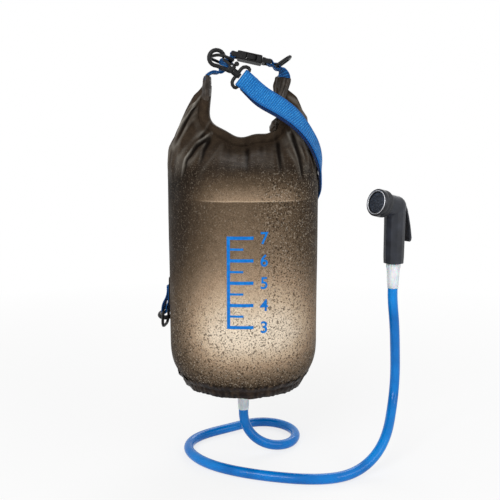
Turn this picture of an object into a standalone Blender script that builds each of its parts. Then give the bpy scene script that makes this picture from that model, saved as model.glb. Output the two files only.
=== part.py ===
# Camp shower bag: a roll-top water bag that hangs by its buckle, a shoulder strap with two
# swivel hooks, a bottom outlet, a hose that lies under the bag, and a thumb-lever handset.
# Metres, +Z up. The origin is under the buckle's female half, where a branch or hook carries it.

import math

import bmesh
import bpy
import numpy as np
from mathutils import Matrix, Vector

for item in list(bpy.data.objects):
    bpy.data.objects.remove(item, do_unlink=True)

# Driving dimensions
CLEARANCE = 0.0003
OVERRUN = 0.004

BAG_RADIUS = 0.105
SHOULDER_Z = -0.165
SIDE_FOOT_Z = -0.389
RIM_Z = -0.4392
RIM_RADIUS = 0.088
BASE_Z = -0.4515

TIP_LEFT_X = -0.049
TIP_RIGHT_X = 0.055
TIP_Z = -0.020
HANDLE_DEPTH = 0.090
ROLL_WIDTH = 0.028
ROLL_THICKNESS = 0.013

WEBBING_WIDTH = 0.025
WEBBING_THICKNESS = 0.0018
SEWN_THICKNESS = 0.0034

HOSE_RADIUS = 0.007

HANDSET_PLACE = (0.211, -0.012, -0.2773)
HANDSET_TURN = math.radians(-57)

# Finishes: colour, roughness, metallic
FINISHES = {
    "coated_fabric": ((0.11, 0.085, 0.065), 0.45, 0.0),
    "skirt_fabric": ((0.05, 0.03, 0.022), 0.5, 0.0),
    "blue_webbing": ((0.0, 0.16, 0.66), 0.7, 0.0),
    "black_plastic": ((0.02, 0.02, 0.02), 0.35, 0.0),
    "charcoal_plastic": ((0.045, 0.045, 0.055), 0.4, 0.0),
    "clear_white_plastic": ((0.72, 0.74, 0.76), 0.3, 0.0),
    "blue_hose": ((0.0, 0.17, 0.62), 0.2, 0.0),
    "bright_metal": ((0.8, 0.8, 0.82), 0.2, 1.0),
    "black_rubber": ((0.03, 0.03, 0.03), 0.7, 0.0),
}

parts = bpy.data.collections.new("camp_shower_bag")
cutters = bpy.data.collections.new("cutters")
bpy.context.scene.collection.children.link(parts)
bpy.context.scene.collection.children.link(cutters)


def keep(piece, finish):
    """Give a piece its own material."""
    colour, roughness, metallic = FINISHES[finish]
    material = bpy.data.materials.new(piece.name + "_" + finish)
    material.use_nodes = True
    shader = material.node_tree.nodes["Principled BSDF"]
    shader.inputs["Base Color"].default_value = (*colour, 1.0)
    shader.inputs["Roughness"].default_value = roughness
    shader.inputs["Metallic"].default_value = metallic
    piece.data.materials.clear()
    piece.data.materials.append(material)
    return piece


def guide(name, frame, parent=None):
    """An empty that carries the pieces of one assembly."""
    empty = bpy.data.objects.new(name, None)
    empty.empty_display_size = OVERRUN
    parts.objects.link(empty)
    empty.parent = parent
    empty.matrix_local = frame
    bpy.context.view_layer.update()
    return empty


def object_from(name, bm, parent):
    """A mesh object from a bmesh, with its faces turned outward."""
    bmesh.ops.recalc_face_normals(bm, faces=bm.faces)
    mesh = bpy.data.meshes.new(name)
    bm.to_mesh(mesh)
    bm.free()
    piece = bpy.data.objects.new(name, mesh)
    parts.objects.link(piece)
    piece.parent = parent
    return piece


def block(name, low, high, parent=None):
    """A box between two corners."""
    low = Vector(low)
    high = Vector(high)
    bm = bmesh.new()
    bmesh.ops.create_cube(bm, size=1.0)
    bmesh.ops.scale(bm, vec=high - low, verts=bm.verts)
    bmesh.ops.translate(bm, vec=(low + high) / 2, verts=bm.verts)
    return object_from(name, bm, parent)


def turn_to(direction):
    """The rotation that takes +Z to a direction."""
    return Vector(direction).to_track_quat("Z", "Y").to_matrix().to_4x4()


def bar(name, start, end, radius, parent=None, sides=20, end_radius=None):
    """A round bar or cone from one point to another."""
    start = Vector(start)
    end = Vector(end)
    bm = bmesh.new()
    bmesh.ops.create_cone(
        bm,
        cap_ends=True,
        segments=sides,
        radius1=radius,
        radius2=radius if end_radius is None else end_radius,
        depth=(end - start).length,
        matrix=Matrix.Translation((start + end) / 2) @ turn_to(end - start),
    )
    return object_from(name, bm, parent)


def turned(name, profile, parent=None, sides=20):
    """A turned piece: its profile runs down the outside, and closes on itself or on the axis."""
    mesh = bpy.data.meshes.new(name)
    points = [(radius, 0.0, height) for radius, height in profile]
    edges = [(index, index + 1) for index in range(len(points) - 1)]
    if profile[0][0] > 0:
        edges.append((len(points) - 1, 0))
    mesh.from_pydata(points, edges, [])
    piece = bpy.data.objects.new(name, mesh)
    parts.objects.link(piece)
    piece.parent = parent
    screw = piece.modifiers.new("turn", "SCREW")
    screw.steps = sides
    screw.render_steps = sides
    screw.use_merge_vertices = True
    screw.merge_threshold = 0.00001
    return piece


def as_mesh(curve_object):
    """The evaluated mesh of a curve, with its caps welded, in place of the curve."""
    bpy.context.view_layer.update()
    name = curve_object.name
    evaluated = curve_object.evaluated_get(bpy.context.evaluated_depsgraph_get())
    mesh = bpy.data.meshes.new_from_object(evaluated)
    bm = bmesh.new()
    bm.from_mesh(mesh)
    bmesh.ops.remove_doubles(bm, verts=bm.verts, dist=CLEARANCE / 30)
    bmesh.ops.recalc_face_normals(bm, faces=bm.faces)
    bm.to_mesh(mesh)
    bm.free()
    parent = curve_object.parent
    bpy.data.objects.remove(curve_object, do_unlink=True)
    piece = bpy.data.objects.new(name, mesh)
    mesh.name = name
    parts.objects.link(piece)
    piece.parent = parent
    return piece


def rod(name, points, radius, parent=None, cyclic=False, resolution=2, shares=None):
    """A round rod along points, with a share of its radius at each point."""
    curve = bpy.data.curves.new(name, "CURVE")
    curve.dimensions = "3D"
    curve.bevel_depth = radius
    curve.bevel_resolution = resolution
    curve.use_fill_caps = not cyclic
    spline = curve.splines.new("POLY")
    spline.points.add(len(points) - 1)
    for index, place in enumerate(points):
        spline.points[index].co = (*place, 1.0)
        spline.points[index].radius = 1.0 if shares is None else shares[index]
    spline.use_cyclic_u = cyclic
    piece = bpy.data.objects.new(name, curve)
    parts.objects.link(piece)
    piece.parent = parent
    return as_mesh(piece)


def plate(name, outlines, thickness, frame, parent=None):
    """A flat outline, with holes where it has more outlines than one, in the XY plane of a frame."""
    curve = bpy.data.curves.new(name, "CURVE")
    curve.dimensions = "2D"
    curve.fill_mode = "BOTH"
    curve.extrude = thickness / 2
    for outline in outlines:
        spline = curve.splines.new("POLY")
        spline.points.add(len(outline) - 1)
        for point, place in zip(spline.points, outline):
            point.co = (*place, 0.0, 1.0)
        spline.use_cyclic_u = True
    piece = bpy.data.objects.new(name, curve)
    parts.objects.link(piece)
    piece.parent = parent
    piece = as_mesh(piece)
    piece.data.transform(frame)
    return piece


def loft(name, rings, parent=None):
    """A closed solid through rings of as many points each."""
    bm = bmesh.new()
    rows = [[bm.verts.new(place) for place in ring] for ring in rings]
    count = len(rows[0])
    for lower, upper in zip(rows, rows[1:]):
        for index in range(count):
            after = (index + 1) % count
            bm.faces.new((lower[index], lower[after], upper[after], upper[index]))
    bm.faces.new(list(reversed(rows[0])))
    bm.faces.new(rows[-1])
    return object_from(name, bm, parent)


FLAT_SECTION = ((-1, -1), (1, -1), (1, 1), (-1, 1))
ROUND_EDGE_SHARES = (0.82, 0.45)
FOLDED_SECTION = (
    (-ROUND_EDGE_SHARES[0], -1), (ROUND_EDGE_SHARES[0], -1),
    (1, -ROUND_EDGE_SHARES[1]), (1, ROUND_EDGE_SHARES[1]),
    (ROUND_EDGE_SHARES[0], 1), (-ROUND_EDGE_SHARES[0], 1),
    (-1, ROUND_EDGE_SHARES[1]), (-1, -ROUND_EDGE_SHARES[1]),
)


def ribbon(name, centres, across, widths, thicknesses, parent=None, section=FLAT_SECTION):
    """A band along centres; across is the direction of its width at each of them."""
    rings = []
    last = len(centres) - 1
    for index, centre in enumerate(centres):
        centre = Vector(centre)
        along = Vector(centres[min(index + 1, last)]) - Vector(centres[max(index - 1, 0)])
        along.normalize()
        side = Vector(across[index])
        side = (side - along * side.dot(along)).normalized()
        face = along.cross(side)
        half_width = widths[index] / 2
        half_thickness = thicknesses[index] / 2
        rings.append([
            centre + side * (half_width * wide) + face * (half_thickness * thick)
            for wide, thick in section
        ])
    return loft(name, rings, parent)


def smooth_points(route, count, first=None, last=None):
    """Evenly spaced points on one smooth cubic curve through the points of a route."""
    route = np.array(route, dtype=float)
    spans = np.linalg.norm(np.diff(route, axis=0), axis=1)
    number = len(route)
    matrix = np.zeros((number, number))
    known = np.zeros(route.shape)
    for index in range(1, number - 1):
        before = spans[index - 1]
        after = spans[index]
        matrix[index, index - 1] = after
        matrix[index, index] = 2 * (before + after)
        matrix[index, index + 1] = before
        rise = after * (route[index] - route[index - 1]) / before
        rise = rise + before * (route[index + 1] - route[index]) / after
        known[index] = 3 * rise
    for end, near, span, slope in ((0, 1, spans[0], first), (-1, -2, spans[-1], last)):
        if slope is not None:
            matrix[end, end] = 1
            known[end] = slope
        else:
            matrix[end, end] = 2
            matrix[end, near] = 1
            known[end] = 3 * (route[max(end, near)] - route[min(end, near)]) / span
    slopes = np.linalg.solve(matrix, known)
    steps = 24
    dense = []
    for index, span in enumerate(spans):
        for step in range(steps + (index == len(spans) - 1)):
            share = step / steps
            dense.append(
                route[index] * (1 + 2 * share) * (1 - share) ** 2
                + slopes[index] * span * share * (1 - share) ** 2
                + route[index + 1] * share ** 2 * (3 - 2 * share)
                + slopes[index + 1] * span * share ** 2 * (share - 1)
            )
    dense = np.array(dense)
    travel = np.concatenate(([0.0], np.cumsum(np.linalg.norm(np.diff(dense, axis=0), axis=1))))
    marks = np.linspace(0, travel[-1], count)
    return [tuple(np.interp(mark, travel, dense[:, axis]) for axis in range(3)) for mark in marks]


def combine(piece, other, operation):
    """A Boolean with another solid, which goes among the cutters."""
    for collection in list(other.users_collection):
        collection.objects.unlink(other)
    cutters.objects.link(other)
    other.hide_render = True
    other.display_type = "WIRE"
    if piece.modifiers and piece.modifiers[-1].type == "BOOLEAN":
        piece.modifiers.new("triangles", "TRIANGULATE")
    boolean = piece.modifiers.new(other.name, "BOOLEAN")
    boolean.operation = operation
    boolean.object = other
    boolean.solver = "EXACT"
    return piece


def cut(piece, *others):
    """Cut other solids out of a piece."""
    for other in others:
        combine(piece, other, "DIFFERENCE")
    return piece


def fuse(piece, *others):
    """Join other solids to a piece."""
    for other in others:
        combine(piece, other, "UNION")
    return piece


def soften(piece, width, segments=1):
    """Rounded edges."""
    bevel = piece.modifiers.new("soft_edges", "BEVEL")
    bevel.width = width
    bevel.segments = segments
    bevel.limit_method = "ANGLE"
    return piece


def pivot_at(piece, place):
    """Move a piece's origin to a point on its joint's axis."""
    piece.data.transform(Matrix.Translation(-Vector(place)))
    piece.location = place
    return piece


def arc(centre, radius, start, end, count):
    """Points on an arc in a plane, angles in degrees."""
    return [
        (
            centre[0] + radius * math.cos(math.radians(start + (end - start) * step / count)),
            centre[1] + radius * math.sin(math.radians(start + (end - start) * step / count)),
        )
        for step in range(count + 1)
    ]


BAG_SIDES = 40
ROLL_STATIONS = BAG_SIDES // 2 + 3


# Closure roll: the rolled mouth, a thick band drawn up at both ends into a U
ROLL_SHARES = (
    (0.0, 0.0), (-0.01, 0.22), (-0.04, 0.47), (-0.03, 0.67), (0.06, 0.80), (0.20, 0.89),
    (0.355, 0.985), (0.49, 1.0), (0.645, 0.955), (0.80, 0.945), (0.925, 0.865), (0.99, 0.71),
    (0.99, 0.467), (0.97, 0.245), (1.0, 0.02),
)
ROLL_END_SHARE = 0.72
ROLL_TAPER_STATIONS = 5


def roll_line(count=ROLL_STATIONS):
    """The middle line of the rolled mouth, from the left arm's tip to the right arm's tip."""
    route = [
        (TIP_LEFT_X + (TIP_RIGHT_X - TIP_LEFT_X) * wide, 0.0, TIP_Z - HANDLE_DEPTH * deep)
        for wide, deep in ROLL_SHARES
    ]
    return smooth_points(route, count)


def roll_share(index, count=ROLL_STATIONS):
    """The roll's thickness as a share: it is thinner towards both tips."""
    near = min(index, count - 1 - index)
    return min(1.0, ROLL_END_SHARE + (1 - ROLL_END_SHARE) * near / ROLL_TAPER_STATIONS)


def make_closure_roll():
    centres = roll_line()
    across = [(0, 1, 0)] * ROLL_STATIONS
    widths = [ROLL_WIDTH] * ROLL_STATIONS
    thicknesses = [ROLL_THICKNESS * roll_share(index) for index in range(ROLL_STATIONS)]
    roll = ribbon("closure_roll", centres, across, widths, thicknesses, None, FOLDED_SECTION)
    return keep(roll, "coated_fabric")


# Bag body: the coated tube, full of water, and the two arms under the roll
UPPER_ROWS = 7
SIDE_LIFT = 0.150
FACE_LIFT = 0.085
TIP_PULL = 0.050
TIP_RISE = 0.085
FACE_TUCK = 0.075
TOP_HALF_DEPTH_SHARE = 0.46
FOOT_SHARES = ((0.0, 1.0), (0.26, 0.96), (0.52, 0.82), (0.77, 0.52), (0.92, 0.22))
DOME_SHARES = ((0.76, 0.60), (0.36, 1.0))
FLANGE_POCKET_RADIUS = 0.0235
FLANGE_POCKET_DEPTH = 0.0073


def under_roll(index):
    """A point just outside the roll, at one of its stations."""
    line = [Vector(place) for place in roll_line()]
    along = (line[index + 1] - line[index - 1]).normalized()
    outward = Vector((along.z, 0.0, -along.x))
    return line[index] + outward * (ROLL_THICKNESS * roll_share(index) / 2 + 2 * CLEARANCE)


def make_bag_body():
    rings = [[] for row in range(UPPER_ROWS + 1)]
    for side in range(BAG_SIDES):
        angle = 2 * math.pi * side / BAG_SIDES
        low = Vector((BAG_RADIUS * math.cos(angle), BAG_RADIUS * math.sin(angle), SHOULDER_Z))
        half = BAG_SIDES // 2
        high = under_roll(1 + abs(half - side))
        high.y = ROLL_WIDTH * TOP_HALF_DEPTH_SHARE * max(-1.0, min(1.0, 3 * math.sin(angle)))
        sideways = abs(math.cos(angle)) ** 2
        lift = Vector((0, 0, SIDE_LIFT * sideways + FACE_LIFT * (1 - sideways)))
        inward = Vector((-TIP_PULL * math.cos(angle) * sideways, 0, TIP_RISE * sideways))
        inward.y = -FACE_TUCK * math.sin(angle)
        inward.z += FACE_TUCK * (1 - sideways) / 2
        for row in range(UPPER_ROWS + 1):
            climb = row / UPPER_ROWS
            place = low * ((1 + 2 * climb) * (1 - climb) ** 2)
            place += lift * (climb * (1 - climb) ** 2)
            place += high * (climb ** 2 * (3 - 2 * climb))
            place += inward * (climb ** 2 * (climb - 1))
            rings[row].append(place)

    def level(radius, height):
        return [
            Vector((
                radius * math.cos(2 * math.pi * side / BAG_SIDES),
                radius * math.sin(2 * math.pi * side / BAG_SIDES),
                height,
            ))
            for side in range(BAG_SIDES)
        ]

    foot = [
        level(RIM_RADIUS + (BAG_RADIUS - RIM_RADIUS) * wide, SIDE_FOOT_Z + (RIM_Z - SIDE_FOOT_Z) * deep)
        for deep, wide in FOOT_SHARES
    ]
    rim = level(RIM_RADIUS, RIM_Z)
    dome = [
        level(RIM_RADIUS * wide, RIM_Z + (BASE_Z - RIM_Z) * deep)
        for wide, deep in DOME_SHARES
    ]
    rows = list(reversed(dome)) + [rim] + list(reversed(foot)) + rings
    bm = bmesh.new()
    grid = [[bm.verts.new(place) for place in row] for row in rows]
    for lower, upper in zip(grid, grid[1:]):
        for side in range(BAG_SIDES):
            after = (side + 1) % BAG_SIDES
            bm.faces.new((lower[side], lower[after], upper[after], upper[side]))
    bm.faces.new(list(reversed(grid[0])))
    top = grid[-1]
    for side in range(1, BAG_SIDES // 2 - 1):
        opposite = BAG_SIDES - side
        bm.faces.new((top[side], top[side + 1], top[opposite - 1], top[opposite]))
    bm.faces.new((top[0], top[1], top[BAG_SIDES - 1]))
    half = BAG_SIDES // 2
    bm.faces.new((top[half - 1], top[half], top[half + 1]))
    bag = object_from("bag_body", bm, None)
    pocket = bar(
        "flange_pocket",
        (0, 0, BASE_Z - OVERRUN),
        (0, 0, BASE_Z + FLANGE_POCKET_DEPTH),
        FLANGE_POCKET_RADIUS,
    )
    cut(bag, pocket)
    return keep(bag, "coated_fabric")


# Base: the welded round panel and the wrinkled skirt of its weld
PANEL_THICKNESS = 0.0012
SPIGOT_RADIUS = 0.008
SKIRT_TUCK = 0.0008
SKIRT_THICKNESS = 0.0030
SKIRT_DROP = 0.0008
SKIRT_HEIGHT = 0.0082
SKIRT_WAVES = 9
SKIRT_WAVE_HEIGHT = 0.0012
PANEL_EDGE_GAP = 0.0004

SKIRT_INNER_RADIUS = RIM_RADIUS - SKIRT_TUCK
SKIRT_OUTER_RADIUS = SKIRT_INNER_RADIUS + SKIRT_THICKNESS
SKIRT_TOP_Z = RIM_Z - SKIRT_DROP
SKIRT_FOOT_Z = SKIRT_TOP_Z - SKIRT_HEIGHT
PANEL_EDGE_RADIUS = SKIRT_INNER_RADIUS - PANEL_EDGE_GAP


def make_base_panel():
    top = [(SPIGOT_RADIUS + CLEARANCE, BASE_Z)]
    top += [
        (RIM_RADIUS * wide, RIM_Z + (BASE_Z - RIM_Z) * deep)
        for wide, deep in reversed(DOME_SHARES)
    ]
    wide, deep = DOME_SHARES[0]
    edge = (RIM_RADIUS - PANEL_EDGE_RADIUS) / (RIM_RADIUS * (1 - wide))
    top.append((PANEL_EDGE_RADIUS, RIM_Z + (BASE_Z - RIM_Z) * deep * edge))
    outside = [(radius, height - 2 * CLEARANCE) for radius, height in reversed(top)]
    inside = [(radius, height - PANEL_THICKNESS) for radius, height in top]
    profile = [outside[0]] + list(reversed(inside)) + list(reversed(outside[1:]))
    return keep(turned("base_panel", profile, None, BAG_SIDES), "skirt_fabric")


def make_base_skirt():
    rings = []
    sides = 45
    for side in range(sides):
        angle = 2 * math.pi * side / sides
        wave = SKIRT_WAVE_HEIGHT * math.sin(SKIRT_WAVES * angle)
        section = (
            (SKIRT_OUTER_RADIUS, SKIRT_TOP_Z),
            (SKIRT_OUTER_RADIUS + wave / 2, SKIRT_FOOT_Z + wave),
            (SKIRT_INNER_RADIUS + wave / 2, SKIRT_FOOT_Z + wave),
            (SKIRT_INNER_RADIUS, SKIRT_TOP_Z),
        )
        rings.append([
            Vector((radius * math.cos(angle), radius * math.sin(angle), height))
            for radius, height in section
        ])
    bm = bmesh.new()
    rows = [[bm.verts.new(place) for place in ring] for ring in rings]
    for side in range(sides):
        row = rows[side]
        after = rows[(side + 1) % sides]
        for index in range(4):
            nearby = (index + 1) % 4
            bm.faces.new((row[index], row[nearby], after[nearby], after[index]))
    return keep(object_from("base_skirt", bm, None), "skirt_fabric")


# Outlet: flange and washer inside the base, spigot through it, locknut under it
WASHER_THICKNESS = 0.0020
FLANGE_RADIUS = 0.0230
FLANGE_THICKNESS = 0.0030
WATERWAY_RADIUS = 0.0035
BARB_RADIUS = 0.0048
BARB_TOOTH = 0.0007
BARB_COUNT = 3
LOCKNUT_RADIUS = 0.0150
LOCKNUT_HEIGHT = 0.0070
NUT_LENGTH = 0.0352
NUT_TOP_RADIUS = 0.0102
NUT_FOOT_RADIUS = 0.0078
NUT_COLLAR = 0.0060
NUT_BORE_RADIUS = 0.0062
SCREEN_RADIUS = 0.0090
SCREEN_THICKNESS = 0.0010
BARB_SHORTFALL = 0.0030

PANEL_FOOT_Z = BASE_Z - PANEL_THICKNESS
LOCKNUT_TOP_Z = PANEL_FOOT_Z - CLEARANCE
OUTLET_NUT_TOP_Z = LOCKNUT_TOP_Z - LOCKNUT_HEIGHT - CLEARANCE
OUTLET_EXIT_Z = OUTLET_NUT_TOP_Z - NUT_LENGTH


def barbed_tail(top, thread_foot, foot, mouth):
    """The outside of a hose tail, from its thread down over its barbs, and its bore."""
    profile = [(SPIGOT_RADIUS, top), (SPIGOT_RADIUS, thread_foot), (BARB_RADIUS, thread_foot)]
    pitch = (thread_foot - foot) / (BARB_COUNT + 1)
    for tooth in range(1, BARB_COUNT + 1):
        height = thread_foot - tooth * pitch
        profile.append((BARB_RADIUS + BARB_TOOTH, height))
        profile.append((BARB_RADIUS, height - pitch / 2))
    profile += [(BARB_RADIUS - BARB_TOOTH, foot), (WATERWAY_RADIUS, foot), (WATERWAY_RADIUS, mouth)]
    return profile


def make_outlet_spigot():
    flange_top = BASE_Z + WASHER_THICKNESS + FLANGE_THICKNESS + 2 * CLEARANCE
    flange_foot = flange_top - FLANGE_THICKNESS
    profile = [(FLANGE_RADIUS, flange_top), (FLANGE_RADIUS, flange_foot)]
    profile += barbed_tail(
        flange_foot,
        OUTLET_NUT_TOP_Z - NUT_COLLAR + CLEARANCE,
        OUTLET_EXIT_Z + BARB_SHORTFALL,
        flange_top,
    )
    return keep(turned("outlet_spigot", profile), "clear_white_plastic")


def make_outlet_washer():
    foot = BASE_Z - CLEARANCE
    top = BASE_Z + WASHER_THICKNESS
    inner = SPIGOT_RADIUS + CLEARANCE
    profile = [(FLANGE_RADIUS, top), (FLANGE_RADIUS, foot), (inner, foot), (inner, top)]
    return keep(turned("outlet_washer", profile), "black_rubber")


def make_outlet_screen():
    foot = BASE_Z + WASHER_THICKNESS + FLANGE_THICKNESS + 3 * CLEARANCE
    inner = WATERWAY_RADIUS / 2
    profile = [
        (SCREEN_RADIUS, foot + SCREEN_THICKNESS),
        (SCREEN_RADIUS, foot),
        (inner, foot),
        (inner, foot + SCREEN_THICKNESS),
    ]
    return keep(turned("outlet_screen", profile, None, 16), "bright_metal")


def make_outlet_locknut():
    nut = bar(
        "outlet_locknut",
        (0, 0, LOCKNUT_TOP_Z - LOCKNUT_HEIGHT),
        (0, 0, LOCKNUT_TOP_Z),
        LOCKNUT_RADIUS,
        sides=6,
    )
    bore = bar(
        "locknut_bore",
        (0, 0, LOCKNUT_TOP_Z - LOCKNUT_HEIGHT - OVERRUN),
        (0, 0, LOCKNUT_TOP_Z + OVERRUN),
        SPIGOT_RADIUS + CLEARANCE,
    )
    return keep(cut(nut, bore), "clear_white_plastic")


def make_hose_nut(name, parent):
    """A tapered nut that hangs below its frame's origin and clamps the hose on its barbs."""
    thread_bore = SPIGOT_RADIUS + CLEARANCE
    profile = [
        (NUT_TOP_RADIUS, 0.0),
        (NUT_TOP_RADIUS, -NUT_COLLAR),
        (NUT_FOOT_RADIUS, -NUT_LENGTH),
        (NUT_BORE_RADIUS, -NUT_LENGTH),
        (NUT_BORE_RADIUS, -NUT_COLLAR),
        (thread_bore, -NUT_COLLAR),
        (thread_bore, 0.0),
    ]
    return keep(turned(name, profile, parent), "clear_white_plastic")


# Hose: route of its middle line, from the outlet, round its loop on the ground, to the handset
HANDSET_AXIS_X = HANDSET_PLACE[0]
HANDSET_AXIS_Y = HANDSET_PLACE[1]
HOSE_END_Z = HANDSET_PLACE[2] - NUT_LENGTH - 2 * CLEARANCE
HOSE_ROUTE = (
    (0.0020, -0.0015, -0.5145), (0.0072, -0.0030, -0.5262), (0.0166, -0.0040, -0.5373),
    (0.0310, -0.0035, -0.5465), (0.0470, 0.0010, -0.5520), (0.0670, 0.0140, -0.5548),
    (0.0785, 0.0370, -0.5550), (0.0780, 0.0590, -0.5550), (0.0640, 0.0820, -0.5550),
    (0.0400, 0.0945, -0.5550), (0.0120, 0.0920, -0.5550), (-0.0120, 0.0790, -0.5550),
    (-0.0360, 0.0635, -0.5550), (-0.0620, 0.0445, -0.5550), (-0.0785, 0.0200, -0.5550),
    (-0.0810, -0.0010, -0.5550), (-0.0720, -0.0265, -0.5550), (-0.0450, -0.0565, -0.5550),
    (-0.0050, -0.0785, -0.5550), (0.0460, -0.0940, -0.5550), (0.0965, -0.1000, -0.5550),
    (0.1280, -0.0955, -0.5545), (0.1600, -0.0800, -0.5500), (0.1790, -0.0680, -0.5400),
    (0.1945, -0.0530, -0.5260), (0.2055, -0.0350, -0.5110), (0.2135, -0.0150, -0.4950),
    (0.2190, -0.0010, -0.4760), (0.2215, 0.0040, -0.4450), (0.2190, -0.0030, -0.4060),
    (0.2145, -0.0110, -0.3590),
)
HOSE_POINTS = 48


def make_hose():
    start = Vector((0.0, 0.0, OUTLET_EXIT_Z - CLEARANCE))
    end = Vector((HANDSET_AXIS_X, HANDSET_AXIS_Y, HOSE_END_Z))
    stub = Vector((0.0, 0.0, HOSE_RADIUS / 2))
    route = [start - stub] + list(HOSE_ROUTE) + [end - stub]
    points = [start] + smooth_points(route, HOSE_POINTS, (0, 0, -1), (0, 0, 1)) + [end]
    return keep(rod("hose", points, HOSE_RADIUS), "blue_hose")


# Side-release buckle: u runs along it from left to right, z is its top face
BUCKLE_TILT = math.radians(12)
BUCKLE_WIDTH = 0.033
BUCKLE_HEIGHT = 0.011
BUCKLE_WALL = 0.002
FEMALE_START = -0.009
FEMALE_END = 0.025
WINDOW_START = 0.003
WINDOW_END = 0.018
WEB_BAR_RADIUS = 0.002
FEMALE_BAR_U = -0.0145
CHEEK_WIDTH = 0.0025
CHEEK_HEIGHT = 0.006
CHEEK_END = 0.0025
MALE_BLOCK_LENGTH = 0.0042
MALE_BAR_U = 0.0355
TONGUE_LENGTH = 0.017
TONGUE_HALF_WIDTH = 0.004
TONGUE_HEIGHT = 0.005
PRONG_THICKNESS = 0.0026
PRONG_ROOT_V = 0.0105
PRONG_TIP_V = 0.0128
PRONG_PAD_V = 0.0175
PRONG_TIP_U = 0.005
PRONG_HEIGHT = 0.0058
PRONG_PAD_START = 0.0042
PRONG_PAD_END = 0.0150
PRONG_PIVOT_U = FEMALE_END - 0.0008
BUCKLE_MIDDLE = BUCKLE_HEIGHT / 2


def web_end(name, near_u, bar_u, parent):
    """Two cheeks and the bar that webbing is sewn round."""
    far_u = bar_u - CHEEK_END if bar_u < near_u else bar_u + CHEEK_END
    inside_u = near_u + (OVERRUN / 2 if bar_u < near_u else -OVERRUN / 2)
    low_u = min(far_u, inside_u)
    high_u = max(far_u, inside_u)
    half = BUCKLE_WIDTH / 2 - BUCKLE_WALL / 2
    pieces = [
        block(
            name + "_cheek_" + label,
            (low_u, min(side * half, side * (half - CHEEK_WIDTH)), BUCKLE_MIDDLE - CHEEK_HEIGHT / 2),
            (high_u, max(side * half, side * (half - CHEEK_WIDTH)), BUCKLE_MIDDLE + CHEEK_HEIGHT / 2),
            parent,
        )
        for label, side in (("front", -1), ("rear", 1))
    ]
    reach = half - CHEEK_WIDTH / 2
    near = (bar_u, -reach, BUCKLE_MIDDLE)
    far = (bar_u, reach, BUCKLE_MIDDLE)
    pieces.append(bar(name + "_bar", near, far, WEB_BAR_RADIUS, parent, 16))
    return pieces


def make_buckle_female(parent):
    half = BUCKLE_WIDTH / 2
    housing = block(
        "buckle_female",
        (FEMALE_START, -half, 0.0),
        (FEMALE_END, half, BUCKLE_HEIGHT),
        parent,
    )
    soften(housing, BUCKLE_WALL * 0.7, 2)
    room = block(
        "buckle_room",
        (FEMALE_START + 2 * BUCKLE_WALL, -half + BUCKLE_WALL, BUCKLE_WALL),
        (FEMALE_END + OVERRUN, half - BUCKLE_WALL, BUCKLE_HEIGHT - BUCKLE_WALL),
        parent,
    )
    windows = block(
        "buckle_windows",
        (WINDOW_START, -half - OVERRUN, BUCKLE_WALL),
        (WINDOW_END, half + OVERRUN, BUCKLE_HEIGHT - BUCKLE_WALL),
        parent,
    )
    fuse(housing, *web_end("female_web", FEMALE_START, FEMALE_BAR_U, parent))
    cut(housing, room, windows)
    return keep(housing, "black_plastic")


def make_buckle_male(parent):
    half = BUCKLE_WIDTH / 2 - BUCKLE_WALL / 2
    start = FEMALE_END + CLEARANCE
    flange = block(
        "buckle_male",
        (start, -half, BUCKLE_WALL),
        (start + MALE_BLOCK_LENGTH, half, BUCKLE_HEIGHT - BUCKLE_WALL),
        parent,
    )
    tongue = block(
        "buckle_tongue",
        (start - TONGUE_LENGTH, -TONGUE_HALF_WIDTH, BUCKLE_MIDDLE - TONGUE_HEIGHT / 2),
        (start + BUCKLE_WALL, TONGUE_HALF_WIDTH, BUCKLE_MIDDLE + TONGUE_HEIGHT / 2),
        parent,
    )
    fuse(flange, tongue, *web_end("male_web", start + MALE_BLOCK_LENGTH, MALE_BAR_U, parent))
    return keep(flange, "black_plastic")


def make_prong(name, side, parent):
    """One sprung arm of the male half; its pad comes out at the housing's window."""
    root = PRONG_PIVOT_U + PRONG_THICKNESS / 4
    outline = [
        (root, PRONG_ROOT_V - PRONG_THICKNESS / 2),
        (root, PRONG_ROOT_V + PRONG_THICKNESS / 2),
        (WINDOW_END, PRONG_TIP_V + PRONG_THICKNESS / 4),
        (PRONG_PAD_END, PRONG_PAD_V - PRONG_THICKNESS / 2),
        (PRONG_PAD_END - BUCKLE_WALL, PRONG_PAD_V),
        (PRONG_PAD_START + BUCKLE_WALL, PRONG_PAD_V),
        (PRONG_PAD_START, PRONG_PAD_V - PRONG_THICKNESS / 4),
        (PRONG_PAD_START, PRONG_TIP_V - PRONG_THICKNESS),
        (PRONG_PAD_START + PRONG_THICKNESS, PRONG_TIP_V - 1.6 * PRONG_THICKNESS),
        (WINDOW_END, PRONG_TIP_V - 1.2 * PRONG_THICKNESS),
    ]
    outline = [(u, side * v) for u, v in outline]
    frame = Matrix.Translation((0, 0, BUCKLE_MIDDLE))
    prong = plate(name, [outline], PRONG_HEIGHT, frame, parent)
    pivot_at(prong, (PRONG_PIVOT_U, side * PRONG_ROOT_V, BUCKLE_MIDDLE))
    return keep(prong, "black_plastic")


# D-rings: x runs from the straight bar to the round end, y along the bar
RING_ROD_RADIUS = 0.00225
RING_INNER_WIDTH = 0.0275
RING_REACH = 0.0225
RING_END_RADIUS = 0.0095
RING_BAR_CORNER = 0.0028


def make_d_ring(name, parent):
    half = RING_INNER_WIDTH / 2 + RING_ROD_RADIUS
    corner = (RING_BAR_CORNER, half - RING_BAR_CORNER)
    shoulder = (RING_REACH - RING_END_RADIUS, half - RING_END_RADIUS)
    upper = arc(corner, RING_BAR_CORNER, 180, 90, 2)
    upper += arc(shoulder, RING_END_RADIUS, 90, 0, 3)
    outline = upper + [(x, -y) for x, y in reversed(upper)]
    points = [(x, y, 0.0) for x, y in outline]
    return keep(rod(name, points, RING_ROD_RADIUS, parent, cyclic=True), "black_plastic")


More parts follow.
